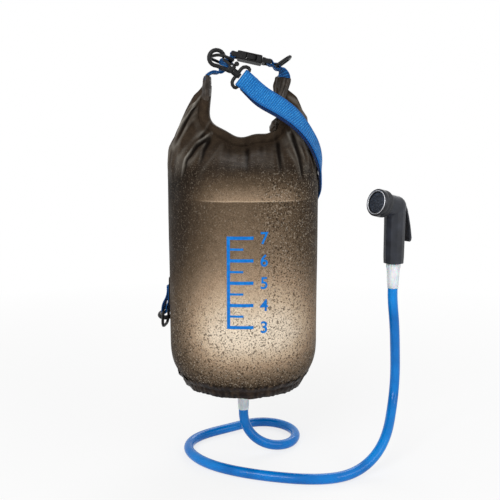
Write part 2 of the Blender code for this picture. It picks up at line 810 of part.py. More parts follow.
# Swivel hooks: x runs from the swivel to the jaw, z towards the gate
EYE_ROD_RADIUS = 0.00225
EYE_BAR_X = -0.012
EYE_SHANK_X = -0.002
BOSS_RADIUS = 0.0045
BOSS_START = -0.0045
BOSS_END = 0.0045
STEM_RADIUS = 0.0022
STEM_HEAD_RADIUS = 0.0036
STEM_HEAD_LENGTH = 0.0018
HOOK_BASE_END = 0.013
HOOK_BASE_HALF_WIDTH = 0.0036
HOOK_BASE_LOW = -0.0045
HOOK_BASE_HIGH = 0.0070
HOOK_ROD_RADIUS = 0.00275
JAW_X = 0.033
JAW_RADIUS = 0.01025
NOSE_ANGLE = 128
SPINE_ANGLE = -128
GATE_PIVOT_X = 0.0100
GATE_PIVOT_Z = 0.0042
GATE_HALF_WIDTH = 0.0018
GATE_THICKNESS = 0.0036
GATE_BARREL_RADIUS = 0.0024
GATE_PIN_RADIUS = 0.0009
KNOB_X = 0.0072
KNOB_Z = 0.0103
KNOB_RADIUS = 0.0028
GATE_TIP_X = 0.0276
GATE_TIP_Z = 0.0041
GATE_ROOM_X = 0.0108
GATE_ROOM_Z = -0.0002


def make_swivel_eye(name, parent):
    half = RING_INNER_WIDTH / 2 + EYE_ROD_RADIUS
    shank_corner = EYE_SHANK_X - EYE_BAR_X - RING_BAR_CORNER
    upper = arc((EYE_BAR_X + RING_BAR_CORNER, half - RING_BAR_CORNER), RING_BAR_CORNER, 180, 90, 2)
    upper += arc((EYE_SHANK_X - shank_corner, half - shank_corner), shank_corner, 90, 0, 3)[1:]
    outline = upper + [(x, -z) for x, z in reversed(upper)]
    points = [(x, 0.0, z) for x, z in outline]
    eye = rod(name, points, EYE_ROD_RADIUS, parent, cyclic=True)
    boss = bar(name + "_boss", (BOSS_START, 0, 0), (BOSS_END, 0, 0), BOSS_RADIUS, parent, 14)
    bore = bar(
        name + "_bore",
        (BOSS_START - OVERRUN / 2, 0, 0),
        (BOSS_END + OVERRUN, 0, 0),
        STEM_RADIUS + CLEARANCE,
        parent,
        14,
    )
    return keep(cut(fuse(eye, boss), bore), "black_plastic")


def make_hook_body(name, parent):
    base_start = BOSS_END + CLEARANCE
    base = block(
        name,
        (base_start, -HOOK_BASE_HALF_WIDTH, HOOK_BASE_LOW),
        (HOOK_BASE_END, HOOK_BASE_HALF_WIDTH, HOOK_BASE_HIGH),
        parent,
    )
    soften(base, HOOK_BASE_HALF_WIDTH / 4)
    curl = arc((JAW_X, 0.0), JAW_RADIUS, SPINE_ANGLE, NOSE_ANGLE, 13)
    spine = [(HOOK_BASE_END - 2 * HOOK_ROD_RADIUS, 0.6 * HOOK_BASE_LOW), (HOOK_BASE_END, 0.9 * HOOK_BASE_LOW)]
    points = [(x, 0.0, z) for x, z in spine + curl]
    hook = rod(name + "_jaw", points, HOOK_ROD_RADIUS, parent)
    stem = bar(
        name + "_stem",
        (BOSS_START - CLEARANCE - STEM_HEAD_LENGTH / 2, 0, 0),
        (base_start + STEM_HEAD_LENGTH, 0, 0),
        STEM_RADIUS,
        parent,
        12,
    )
    head = bar(
        name + "_stem_head",
        (BOSS_START - CLEARANCE - STEM_HEAD_LENGTH, 0, 0),
        (BOSS_START - CLEARANCE, 0, 0),
        STEM_HEAD_RADIUS,
        parent,
        12,
    )
    slot = block(
        name + "_gate_slot",
        (base_start - OVERRUN, -GATE_HALF_WIDTH - CLEARANCE, GATE_PIVOT_Z - GATE_BARREL_RADIUS - CLEARANCE),
        (HOOK_BASE_END + OVERRUN, GATE_HALF_WIDTH + CLEARANCE, HOOK_BASE_HIGH + OVERRUN),
        parent,
    )
    room = block(
        name + "_gate_room",
        (GATE_ROOM_X, -GATE_HALF_WIDTH - CLEARANCE, GATE_ROOM_Z),
        (HOOK_BASE_END + OVERRUN, GATE_HALF_WIDTH + CLEARANCE, HOOK_BASE_HIGH + OVERRUN),
        parent,
    )
    pin_hole = bar(
        name + "_pin_hole",
        (GATE_PIVOT_X, -HOOK_BASE_HALF_WIDTH - OVERRUN, GATE_PIVOT_Z),
        (GATE_PIVOT_X, HOOK_BASE_HALF_WIDTH + OVERRUN, GATE_PIVOT_Z),
        GATE_PIN_RADIUS + CLEARANCE,
        parent,
        12,
    )
    fuse(base, hook)
    cut(base, slot, room, pin_hole)
    fuse(base, stem, head)
    return keep(base, "black_plastic")


def make_gate(name, parent):
    """The sprung gate: barrel on its pin, arm up to the nose, and thumb knob."""
    half = GATE_THICKNESS / 2
    slope = math.atan2(GATE_TIP_Z - GATE_PIVOT_Z, GATE_TIP_X - GATE_PIVOT_X)
    frame = Matrix.Rotation(math.radians(90), 4, "X")
    length = math.hypot(GATE_TIP_Z - GATE_PIVOT_Z, GATE_TIP_X - GATE_PIVOT_X)
    straight = [(0.0, -half), (length - 2 * half, -half), (length, 0.4 * half), (length, half), (0.0, half)]
    turned_outline = [
        (
            GATE_PIVOT_X + x * math.cos(slope) - z * math.sin(slope),
            GATE_PIVOT_Z + x * math.sin(slope) + z * math.cos(slope),
        )
        for x, z in straight
    ]
    arm = plate(name, [turned_outline], 2 * GATE_HALF_WIDTH, frame, parent)
    barrel = bar(
        name + "_barrel",
        (GATE_PIVOT_X, -GATE_HALF_WIDTH, GATE_PIVOT_Z),
        (GATE_PIVOT_X, GATE_HALF_WIDTH, GATE_PIVOT_Z),
        GATE_BARREL_RADIUS,
        parent,
        12,
    )
    stalk = bar(
        name + "_stalk",
        (GATE_PIVOT_X, 0, GATE_PIVOT_Z),
        (KNOB_X, 0, KNOB_Z),
        GATE_HALF_WIDTH * 0.9,
        parent,
        10,
    )
    knob = bar(
        name + "_knob",
        (KNOB_X, -KNOB_RADIUS, KNOB_Z),
        (KNOB_X, KNOB_RADIUS, KNOB_Z),
        KNOB_RADIUS,
        parent,
        10,
    )
    hole = bar(
        name + "_hole",
        (GATE_PIVOT_X, -OVERRUN, GATE_PIVOT_Z),
        (GATE_PIVOT_X, OVERRUN, GATE_PIVOT_Z),
        GATE_PIN_RADIUS + CLEARANCE,
        parent,
        12,
    )
    fuse(arm, barrel, stalk, knob)
    cut(arm, hole)
    pivot_at(arm, (GATE_PIVOT_X, 0, GATE_PIVOT_Z))
    return keep(arm, "black_plastic")


def make_gate_pin(name, parent):
    pin = bar(
        name,
        (GATE_PIVOT_X, -HOOK_BASE_HALF_WIDTH, GATE_PIVOT_Z),
        (GATE_PIVOT_X, HOOK_BASE_HALF_WIDTH, GATE_PIVOT_Z),
        GATE_PIN_RADIUS,
        parent,
        12,
    )
    return keep(pin, "bright_metal")


# Sewn loops of webbing: offsets along the webbing from the bar, and thicknesses as shares
LOOP_GAP = CLEARANCE
LOOP_END_SHARES = ((1.0, 0.45), (0.82, 0.75), (0.42, 1.0), (0.0, 1.0), (-0.55, 0.93), (-1.1, 0.68))


def loop_radius(rod_radius):
    """The outer radius of webbing that goes round a rod."""
    return rod_radius + LOOP_GAP + WEBBING_THICKNESS


# Top webbing: left piece from buckle over the D-ring's bar to the left arm, right piece alike
LEFT_RING_PLACE = (-0.0220, 0.0, -0.0005)
LEFT_RING_TWIST = math.radians(37)
LEFT_RING_RISE = math.radians(15)
RIGHT_RING_PLACE = (0.0455, 0.0, -0.0075)
RIGHT_RING_RISE = math.radians(34)
TUCK_DEPTH = 0.012
RING_GATHER_SHARE = 0.95


def left_ring_frame():
    """Bar twisted about the vertical, round end out to the front and left, and up."""
    turn = Matrix.Rotation(LEFT_RING_TWIST, 4, "Z") @ Matrix.Rotation(math.pi, 4, "Z")
    return Matrix.Translation(LEFT_RING_PLACE) @ turn @ Matrix.Rotation(-LEFT_RING_RISE, 4, "Y")


def right_ring_frame():
    return Matrix.Translation(RIGHT_RING_PLACE) @ Matrix.Rotation(-RIGHT_RING_RISE, 4, "Y")


def loop_stations(bar_place, toward, radius):
    """Places and thicknesses of a sewn loop that ends round a bar; toward leads to the webbing."""
    bar_place = Vector(bar_place)
    toward = Vector(toward).normalized()
    return [
        (bar_place - toward * (radius * offset), max(2 * radius * thick, SEWN_THICKNESS))
        for offset, thick in LOOP_END_SHARES
    ]


def bar_cutter(name, place, direction, radius, parent=None):
    """Room for a bar through a sewn loop."""
    place = Vector(place)
    reach = Vector(direction).normalized() * WEBBING_WIDTH
    return bar(name, place - reach, place + reach, radius + LOOP_GAP, parent, 20)


def make_top_webbing(name, buckle_bar, ring_place, ring_axis, tip, tuck, middle_points):
    """Buckle bar, D-ring bar, then a bend down into the arm's rolled end."""
    buckle_bar = Vector(buckle_bar)
    ring_place = Vector(ring_place)
    tip = Vector(tip)
    tuck = Vector(tuck)
    side_axis = Vector((0, 1, 0))
    ring_axis = Vector(ring_axis).normalized()
    if ring_axis.y < 0:
        ring_axis = -ring_axis
    radius = loop_radius(RING_ROD_RADIUS)
    bar_radius = loop_radius(WEB_BAR_RADIUS)
    toward = (ring_place - buckle_bar).normalized()
    span = (ring_place - buckle_bar).length
    rest = span - 0.55 * bar_radius - radius * 0.6
    loop = loop_stations(buckle_bar, toward, bar_radius)[:5]
    stations = [(place, thick, side_axis) for place, thick in loop]
    neck = buckle_bar + toward * (0.55 * bar_radius + rest / 2)
    stations.append((neck, max(SEWN_THICKNESS, bar_radius * 1.3), side_axis.lerp(ring_axis, 0.5)))
    stations.append((ring_place - toward * (radius * 0.6), 1.7 * radius, ring_axis))
    after = Vector(middle_points[0]) - ring_place
    after.normalize()
    stations.append((ring_place, 2 * radius, ring_axis))
    stations.append((ring_place + after * (radius * 0.9), radius, ring_axis))
    count = len(middle_points)
    for index, place in enumerate(middle_points):
        blend = (index + 1) / (count + 1)
        stations.append((Vector(place), SEWN_THICKNESS, ring_axis.lerp(side_axis, blend)))
    stations.append((tip + (tip - tuck).normalized() * OVERRUN, SEWN_THICKNESS, side_axis))
    stations.append((tuck, SEWN_THICKNESS, side_axis))
    centres = [station[0] for station in stations]
    thicknesses = [station[1] for station in stations]
    across = [station[2] for station in stations]
    widths = [WEBBING_WIDTH] * 5 + [WEBBING_WIDTH * RING_GATHER_SHARE] * 4
    widths += [WEBBING_WIDTH] * (len(stations) - len(widths))
    webbing = ribbon(name, centres, across, widths, thicknesses)
    cut(webbing, bar_cutter(name + "_buckle_room", buckle_bar, side_axis, WEB_BAR_RADIUS))
    cut(webbing, bar_cutter(name + "_ring_room", ring_place, ring_axis, RING_ROD_RADIUS))
    return keep(webbing, "blue_webbing")


# Shoulder strap: from the upper hook over the right shoulder and round the back of the bag
UPPER_HOOK_PLACE = (-0.0093, -0.0160, -0.0182)
UPPER_HOOK_ANGLE = math.radians(38)
STRAP_FRONT_SHARES = (
    (0.195, -0.195, -0.262), (0.440, -0.300, -0.365), (0.715, -0.425, -0.508),
    (0.905, -0.370, -0.665), (1.012, -0.185, -0.835),
)
STRAP_LIFT = 0.0038
STRAP_SHOULDER_ACROSS = (0.285, 0.775, 0.565)
STRAP_SHOULDER_SHARE = 0.64
STRAP_SIDE_ANGLE = math.radians(4)
STRAP_END_Z = -0.322
LOWER_JAW_ANGLE = math.radians(164)
LOWER_HOOK_REACH = 0.038485
LOWER_EYE_ANGLE = LOWER_JAW_ANGLE - LOWER_HOOK_REACH / BAG_RADIUS
LOWER_JAW_LIFT = 0.0140
LOWER_EYE_LIFT = 0.0062
LOWER_JAW_Z = -0.3612
LOWER_HOOK_RISE = 0.012
STRAP_STATIONS_FRONT = 15
STRAP_STATIONS_BACK = 17


def on_side(angle, lift, height):
    """A point beside the bag's straight side."""
    return Vector((
        (BAG_RADIUS + lift) * math.cos(angle),
        (BAG_RADIUS + lift) * math.sin(angle),
        height,
    ))


def frame_from(place, along, up):
    """A frame with x along a direction and z as near another as may be."""
    x = Vector(along).normalized()
    z = Vector(up)
    z = (z - x * z.dot(x)).normalized()
    y = z.cross(x)
    frame = Matrix((x, y, z)).transposed().to_4x4()
    frame.translation = Vector(place)
    return frame


def upper_hook_frame():
    along = (-math.cos(UPPER_HOOK_ANGLE), 0, math.sin(UPPER_HOOK_ANGLE))
    return frame_from(UPPER_HOOK_PLACE, along, (math.sin(UPPER_HOOK_ANGLE), 0, math.cos(UPPER_HOOK_ANGLE)))


def lower_hook_frame():
    jaw = on_side(LOWER_JAW_ANGLE, LOWER_JAW_LIFT, LOWER_JAW_Z)
    eye = on_side(LOWER_EYE_ANGLE, LOWER_EYE_LIFT, LOWER_JAW_Z + LOWER_HOOK_RISE)
    along = (jaw - eye).normalized()
    outward = Vector((math.cos(LOWER_JAW_ANGLE), math.sin(LOWER_JAW_ANGLE), 0))
    return frame_from(jaw - along * JAW_X, along, outward)


def make_shoulder_strap():
    upper = upper_hook_frame()
    lower = lower_hook_frame()
    upper_bar = upper @ Vector((EYE_BAR_X, 0, 0))
    lower_bar = lower @ Vector((EYE_BAR_X, 0, 0))
    upper_axis = (upper.to_3x3() @ Vector((0, 0, 1))).normalized()
    lower_axis = (lower.to_3x3() @ Vector((0, 1, 0))).normalized()
    radius = loop_radius(EYE_ROD_RADIUS)
    front = [
        (BAG_RADIUS * wide, BAG_RADIUS * deep, -SHOULDER_Z * high)
        for wide, deep, high in STRAP_FRONT_SHARES
    ]
    leave = (upper.to_3x3() @ Vector((-1, 0, 0))).normalized()
    first = upper_bar + leave * (1.5 * radius)
    side = on_side(STRAP_SIDE_ANGLE, STRAP_LIFT, SHOULDER_Z)
    front_line = smooth_points([first] + front + [side], STRAP_STATIONS_FRONT, leave, None)
    arrive = (lower.to_3x3() @ Vector((-1, 0, 0))).normalized()
    final = lower_bar + arrive * (1.5 * radius)
    final_angle = math.atan2(final.y, final.x)
    final_lift = math.hypot(final.x, final.y) - BAG_RADIUS
    stations = [(place, thick, upper_axis) for place, thick in loop_stations(upper_bar, leave, radius)]
    drop = final.z - SHOULDER_Z
    tilt = math.atan2(-drop, (BAG_RADIUS + STRAP_LIFT) * (final_angle - STRAP_SIDE_ANGLE))
    shoulder_axis = Vector(STRAP_SHOULDER_ACROSS)
    side_tangent = Vector((-math.sin(STRAP_SIDE_ANGLE), math.cos(STRAP_SIDE_ANGLE), 0))
    side_axis = Vector((0, 0, math.cos(tilt))) + side_tangent * math.sin(tilt)
    for index, place in enumerate(front_line):
        share = index / (STRAP_STATIONS_FRONT - 1)
        near = min(1.0, share / STRAP_SHOULDER_SHARE)
        near = near ** 2 * (3 - 2 * near)
        far = max(0.0, (share - STRAP_SHOULDER_SHARE) / (1 - STRAP_SHOULDER_SHARE))
        across = upper_axis.lerp(shoulder_axis, near).lerp(side_axis, far)
        stations.append((Vector(place), WEBBING_THICKNESS, across))
    for index in range(1, STRAP_STATIONS_BACK):
        share = index / STRAP_STATIONS_BACK
        angle = STRAP_SIDE_ANGLE + (final_angle - STRAP_SIDE_ANGLE) * share
        lift = STRAP_LIFT + (final_lift - STRAP_LIFT) * max(0.0, share * 5 - 4)
        height = SHOULDER_Z + drop * share
        tangent = Vector((-math.sin(angle), math.cos(angle), 0))
        across = Vector((0, 0, math.cos(tilt))) + tangent * math.sin(tilt)
        stations.append((on_side(angle, lift, height), WEBBING_THICKNESS, across))
    if lower_axis.z < 0:
        lower_axis = -lower_axis
    for place, thick in reversed(loop_stations(lower_bar, arrive, radius)):
        stations.append((place, thick, lower_axis))
    centres = [station[0] for station in stations]
    thicknesses = [station[1] for station in stations]
    across = [station[2] for station in stations]
    strap = ribbon("shoulder_strap", centres, across, [WEBBING_WIDTH] * len(stations), thicknesses)
    cut(strap, bar_cutter("upper_eye_room", upper_bar, upper_axis, EYE_ROD_RADIUS))
    cut(strap, bar_cutter("lower_eye_room", lower_bar, lower_axis, EYE_ROD_RADIUS))
    return keep(strap, "blue_webbing")


# Strap slider behind the bag
SLIDER_STATION = 7
SLIDER_LENGTH = 0.016
SLIDER_WIDTH = 0.032
SLIDER_BACK = 0.0012
SLIDER_FRONT = 0.0020
SLIDER_BAR = 0.0030


def make_strap_slider():
    lower = lower_hook_frame()
    final = lower @ Vector((EYE_BAR_X - 1.5 * loop_radius(EYE_ROD_RADIUS), 0, 0))
    final_angle = math.atan2(final.y, final.x)
    drop = final.z - SHOULDER_Z
    turn = final_angle - STRAP_SIDE_ANGLE
    shares = (SLIDER_STATION / STRAP_STATIONS_BACK, (SLIDER_STATION + 1) / STRAP_STATIONS_BACK)
    before, after = [
        on_side(STRAP_SIDE_ANGLE + turn * share, STRAP_LIFT, SHOULDER_Z + drop * share)
        for share in shares
    ]
    place = (before + after) / 2
    along = (after - before).normalized()
    outward = Vector((place.x, place.y, 0)).normalized()
    carrier = guide("slider_frame", frame_from(place, along, outward))
    half_slot = WEBBING_THICKNESS / 2 + 3 * CLEARANCE
    body = block(
        "strap_slider",
        (-SLIDER_LENGTH / 2, -SLIDER_WIDTH / 2, -half_slot - SLIDER_BACK),
        (SLIDER_LENGTH / 2, SLIDER_WIDTH / 2, half_slot + SLIDER_FRONT),
        carrier,
    )
    soften(body, SLIDER_BACK / 2)
    slot = block(
        "slider_slot",
        (-SLIDER_LENGTH, -WEBBING_WIDTH / 2 - 2 * CLEARANCE, -half_slot),
        (SLIDER_LENGTH, WEBBING_WIDTH / 2 + 2 * CLEARANCE, half_slot),
        carrier,
    )
    windows = [
        block(
            "slider_window_" + label,
            (min(near, far), -WEBBING_WIDTH / 2, 0.0),
            (max(near, far), WEBBING_WIDTH / 2, half_slot + SLIDER_FRONT + OVERRUN),
            carrier,
        )
        for label, near, far in (
            ("left", -SLIDER_LENGTH / 2 + SLIDER_BAR, -SLIDER_BAR / 2),
            ("right", SLIDER_BAR / 2, SLIDER_LENGTH / 2 - SLIDER_BAR),
        )
    ]
    cut(body, slot, *windows)
    return keep(body, "black_plastic")


# Side fixing: welded patch, sewn tab and the D-ring that the strap's lower hook is clipped to
TAB_ANGLE = math.radians(172)
PATCH_WIDTH = 0.038
PATCH_TOP_Z = -0.300
PATCH_FOOT_Z = -0.340
PATCH_THICKNESS = 0.0010
TAB_LENGTH = 0.0385
TAB_THICKNESS = 0.0110
TAB_SHARES = (
    (0.391, 1.0, 0.309), (0.457, 0.740, 0.364), (0.652, 0.506, 0.582), (0.891, 0.325, 0.909),
    (0.978, 0.169, 1.0), (1.0, 0.013, 0.909), (1.0, -0.065, 0.727), (1.0, -0.114, 0.400),
)
SIDE_RING_LIFT = 0.0092
SIDE_RING_Z = -0.3505
SIDE_RING_LEAN = math.radians(4)


def make_side_patch():
    rings = []
    sides = 8
    half_angle = PATCH_WIDTH / BAG_RADIUS / 2
    near = CLEARANCE
    far = near + PATCH_THICKNESS
    for side in range(sides + 1):
        angle = TAB_ANGLE - half_angle + 2 * half_angle * side / sides
        rings.append([
            on_side(angle, near, PATCH_FOOT_Z),
            on_side(angle, far, PATCH_FOOT_Z),
            on_side(angle, far, PATCH_TOP_Z),
            on_side(angle, near, PATCH_TOP_Z),
        ])
    return keep(loft("side_patch", rings), "coated_fabric")


def make_side_tab():
    tangent = Vector((-math.sin(TAB_ANGLE), math.cos(TAB_ANGLE), 0))
    centres = [
        on_side(TAB_ANGLE, SIDE_RING_LIFT * out, SIDE_RING_Z + TAB_LENGTH * high)
        for out, high, thick in TAB_SHARES
    ]
    thicknesses = [TAB_THICKNESS * thick for out, high, thick in TAB_SHARES]
    count = len(TAB_SHARES)
    tab = ribbon("side_tab", centres, [tangent] * count, [WEBBING_WIDTH] * count, thicknesses)
    place = on_side(TAB_ANGLE, SIDE_RING_LIFT, SIDE_RING_Z)
    cut(tab, bar_cutter("side_tab_room", place, tangent, RING_ROD_RADIUS))
    return keep(tab, "blue_webbing")


def side_ring_frame():
    """Hangs below its bar, leaning a little outward."""
    place = on_side(TAB_ANGLE, SIDE_RING_LIFT, SIDE_RING_Z)
    outward = Vector((math.cos(TAB_ANGLE), math.sin(TAB_ANGLE), 0))
    down = Vector((0, 0, -math.cos(SIDE_RING_LEAN))) + outward * math.sin(SIDE_RING_LEAN)
    return frame_from(place, down, outward)


# Handset: origin at the middle of the handle's foot, front is -y, up is +z
BODY_RADIUS = 0.0165
ELBOW_Z = 0.0790
HANDLE_HEIGHTS = (0.0, 0.010, 0.030, 0.055, 0.0771)
HANDLE_SHARES = (0.86, 0.89, 0.90, 0.91, 0.93)
ELBOW_SHARE = 0.952
HEAD_SHARE = 0.975
HEAD_START_SHARE = 0.935
HEAD_START = 0.0023
HEAD_PITCH = math.radians(12)
HEAD_LENGTH = 0.0288
HEAD_FACING = (0.0, -math.cos(HEAD_PITCH), math.sin(HEAD_PITCH))
HEAD_PLACE = (0.0, HEAD_LENGTH * HEAD_FACING[1], ELBOW_Z + HEAD_LENGTH * HEAD_FACING[2])
COLLAR_RADIUS = 0.0190
COLLAR_BACK = 0.0065
COLLAR_LENGTH = 0.0145
COLLAR_LIP_RADIUS = 0.0142
COLLAR_LIP = 0.0050
TRIM_OUTER_RADIUS = 0.0168
TRIM_INNER_RADIUS = 0.0155
TRIM_DEPTH = 0.0010
PLATE_RADIUS = 0.0139
PLATE_THICKNESS = 0.0030
PLATE_DOME = 0.0012
JET_RADIUS = 0.0007
JET_RINGS = ((1, 0.0), (6, 0.0045), (12, 0.0092))
HEAD_CHAMBER_RADIUS = 0.0115
HEAD_CHAMBER_DEPTH = 0.0120
INLET_BORE_DEPTH = 0.0118
VALVE_Z = 0.0640
VALVE_BORE_RADIUS = 0.0048
VALVE_BORE_FRONT = -0.0060
STEM_SHAFT_RADIUS = 0.0026
STEM_BUTTON_RADIUS = 0.0034
STEM_BUTTON_LENGTH = 0.0022
STEM_TIP_Y = 0.0178
STEM_INNER_Y = 0.0060
STEM_PISTON_RADIUS = 0.0042
STEM_PISTON_LENGTH = 0.0030
SEAL_OUTER_Y = 0.0128
SEAL_LENGTH = 0.0020
SPRING_COILS = 4
SPRING_POINTS_PER_COIL = 8
SPRING_WIRE_RADIUS = 0.0005
SPRING_FRONT_Y = -0.0052
SPRING_BACK_Y = 0.0023
LEVER_PIVOT_Y = 0.0125
LEVER_PIVOT_Z = 0.0800
LEVER_BARREL_RADIUS = 0.0036
LEVER_BARREL_HALF = 0.0045
LEVER_SLOT_DROP = 0.0090
LEVER_SLOT_RISE = 0.0055
HEAD_DUCT_Y = -0.0016
HEAD_DUCT_Z = 0.0797
HEAD_DUCT_RADIUS = 0.0027
LIFT_BORE_RADIUS = 0.0031
LIFT_BORE_Y = -0.0027
LIFT_BORE_TOP = 0.0829
LEVER_PIN_RADIUS = 0.0014
LEVER_PIN_HALF = 0.0078
LEVER_REACH = 0.0141
LEVER_LENGTH = 0.0512
LEVER_WIDTH = 0.0155
LEVER_THICKNESS = 0.0046
LEVER_SHARES = (
    (0.035, 0.0, 0.568, 1.087), (0.284, 0.020, 0.568, 1.0), (0.440, 0.107, 0.645, 0.870),
    (0.553, 0.313, 0.903, 0.783), (0.716, 0.547, 1.0, 0.783), (0.879, 0.762, 0.968, 0.826),
    (0.979, 0.889, 0.903, 1.0), (1.0, 0.957, 0.774, 0.957), (0.986, 1.0, 0.581, 0.565),
)


def make_handset_body(parent):
    path = [(0.0, 0.0, height) for height in HANDLE_HEIGHTS]
    body = rod("handset_body", path, BODY_RADIUS, parent, resolution=4, shares=HANDLE_SHARES)
    bm = bmesh.new()
    bmesh.ops.create_uvsphere(bm, u_segments=20, v_segments=10, radius=BODY_RADIUS * ELBOW_SHARE)
    bmesh.ops.translate(bm, vec=(0, 0, ELBOW_Z), verts=bm.verts)
    elbow = object_from("elbow", bm, parent)
    barrel_start = Vector((0, 0, ELBOW_Z)) + Vector(HEAD_FACING) * HEAD_START
    start_radius = BODY_RADIUS * HEAD_START_SHARE
    barrel = bar("head_barrel", barrel_start, HEAD_PLACE, start_radius, parent, 24, BODY_RADIUS * HEAD_SHARE)
    fuse(body, elbow, barrel)
    slot_half = LEVER_BARREL_HALF + CLEARANCE
    pin_place = Vector((0, LEVER_PIVOT_Y, LEVER_PIVOT_Z))
    slot_front = LEVER_PIVOT_Y - LEVER_BARREL_RADIUS - 2 * CLEARANCE
    slot = block(
        "lever_slot",
        (-slot_half, slot_front, LEVER_PIVOT_Z - LEVER_SLOT_DROP),
        (slot_half, BODY_RADIUS + OVERRUN, LEVER_PIVOT_Z + LEVER_SLOT_RISE),
        parent,
    )
    pin_hole = bar(
        "lever_pin_hole",
        pin_place - Vector((BODY_RADIUS, 0, 0)),
        pin_place + Vector((BODY_RADIUS, 0, 0)),
        LEVER_PIN_RADIUS + CLEARANCE,
        parent,
        12,
    )
    inlet_radius = SPIGOT_RADIUS + 1.4 * CLEARANCE
    inlet = bar("inlet_bore", (0, 0, -OVERRUN), (0, 0, INLET_BORE_DEPTH), inlet_radius, parent)
    riser = bar(
        "riser_bore",
        (0, 0, INLET_BORE_DEPTH - OVERRUN / 2),
        (0, 0, VALVE_Z),
        WATERWAY_RADIUS,
        parent,
        12,
    )
    valve = bar(
        "valve_bore",
        (0, VALVE_BORE_FRONT, VALVE_Z),
        (0, BODY_RADIUS + OVERRUN, VALVE_Z),
        VALVE_BORE_RADIUS,
        parent,
        16,
    )
    lift_way = bar(
        "lift_bore",
        (0, LIFT_BORE_Y, VALVE_Z),
        (0, LIFT_BORE_Y, LIFT_BORE_TOP),
        LIFT_BORE_RADIUS,
        parent,
        12,
    )
    facing = Vector(HEAD_FACING)
    mouth = Vector(HEAD_PLACE)
    chamber = bar(
        "head_chamber",
        mouth - facing * HEAD_CHAMBER_DEPTH,
        mouth + facing * OVERRUN,
        HEAD_CHAMBER_RADIUS,
        parent,
        20,
    )
    duct = bar(
        "head_duct",
        (0, HEAD_DUCT_Y, HEAD_DUCT_Z),
        mouth - facing * HEAD_CHAMBER_DEPTH / 2,
        HEAD_DUCT_RADIUS,
        parent,
        12,
    )
    cut(body, slot, pin_hole, inlet, riser, valve, lift_way, duct, chamber)
    return keep(body, "charcoal_plastic")


def head_guide(parent):
    """A frame at the head's mouth: +z faces out of the spray plate."""
    return guide("head_frame", Matrix.Translation(HEAD_PLACE) @ turn_to(HEAD_FACING), parent)


def make_bezel(parent):
    barrel = BODY_RADIUS * HEAD_SHARE + 1.4 * CLEARANCE
    front = COLLAR_LENGTH - COLLAR_BACK
    step = front - COLLAR_LIP
    rounding = COLLAR_LIP / 4
    profile = [
        (TRIM_OUTER_RADIUS + CLEARANCE, front),
        (COLLAR_RADIUS - rounding, front),
        (COLLAR_RADIUS, front - rounding),
        (COLLAR_RADIUS, -COLLAR_BACK + rounding),
        (COLLAR_RADIUS - rounding, -COLLAR_BACK),
        (barrel, -COLLAR_BACK),
        (barrel, step),
        (COLLAR_LIP_RADIUS, step),
        (COLLAR_LIP_RADIUS, front - TRIM_DEPTH / 2),
        (TRIM_INNER_RADIUS - CLEARANCE, front),
        (TRIM_INNER_RADIUS - CLEARANCE, front - TRIM_DEPTH),
        (TRIM_OUTER_RADIUS + CLEARANCE, front - TRIM_DEPTH),
    ]
    return keep(turned("head_bezel", profile, parent, 22), "charcoal_plastic")


def make_trim_ring(parent):
    front = COLLAR_LENGTH - COLLAR_BACK
    foot = front - TRIM_DEPTH + CLEARANCE
    profile = [
        (TRIM_OUTER_RADIUS, front),
        (TRIM_OUTER_RADIUS, foot),
        (TRIM_INNER_RADIUS, foot),
        (TRIM_INNER_RADIUS, front),
    ]
    return keep(turned("face_trim_ring", profile, parent, 22), "bright_metal")


def make_spray_plate(parent):
    foot = COLLAR_LENGTH - COLLAR_BACK - COLLAR_LIP + CLEARANCE
    top = foot + PLATE_THICKNESS
    profile = [
        (0.0, top + PLATE_DOME),
        (PLATE_RADIUS * 0.55, top + PLATE_DOME * 0.7),
        (PLATE_RADIUS, top),
        (PLATE_RADIUS, foot),
        (0.0, foot),
    ]
    face = turned("spray_plate", profile, parent, 22)
    bm = bmesh.new()
    for count, radius in JET_RINGS:
        for jet in range(count):
            angle = 2 * math.pi * jet / count
            place = Matrix.Translation((radius * math.cos(angle), radius * math.sin(angle), top))
            bmesh.ops.create_cone(
                bm,
                cap_ends=True,
                segments=5,
                radius1=JET_RADIUS,
                radius2=JET_RADIUS,
                depth=PLATE_THICKNESS * 4,
                matrix=place,
            )
    cut(face, object_from("jet_drills", bm, parent))
    return keep(face, "charcoal_plastic")


def make_handset_inlet(parent):
    profile = barbed_tail(
        INLET_BORE_DEPTH - CLEARANCE,
        -NUT_COLLAR,
        -NUT_LENGTH + BARB_SHORTFALL,
        INLET_BORE_DEPTH - CLEARANCE,
    )
    return keep(turned("handset_inlet", profile, parent), "clear_white_plastic")


def make_lever(parent):
    pivot = Vector((0, LEVER_PIVOT_Y, LEVER_PIVOT_Z))
    centres = [
        (0.0, LEVER_PIVOT_Y + LEVER_REACH * back, LEVER_PIVOT_Z - LEVER_LENGTH * down)
        for back, down, wide, thick in LEVER_SHARES
    ]
    widths = [LEVER_WIDTH * wide for back, down, wide, thick in LEVER_SHARES]
    thicknesses = [LEVER_THICKNESS * thick for back, down, wide, thick in LEVER_SHARES]
    across = [(1, 0, 0)] * len(LEVER_SHARES)
    lever = ribbon("thumb_lever", centres, across, widths, thicknesses, parent, FOLDED_SECTION)
    barrel = bar(
        "lever_barrel",
        pivot - Vector((LEVER_BARREL_HALF, 0, 0)),
        pivot + Vector((LEVER_BARREL_HALF, 0, 0)),
        LEVER_BARREL_RADIUS,
        parent,
        20,
    )
    hole = bar(
        "lever_hole",
        pivot - Vector((OVERRUN * 2, 0, 0)),
        pivot + Vector((OVERRUN * 2, 0, 0)),
        LEVER_PIN_RADIUS + CLEARANCE,
        parent,
        12,
    )
    cut(fuse(lever, barrel), hole)
    pivot_at(lever, pivot)
    return keep(lever, "charcoal_plastic")


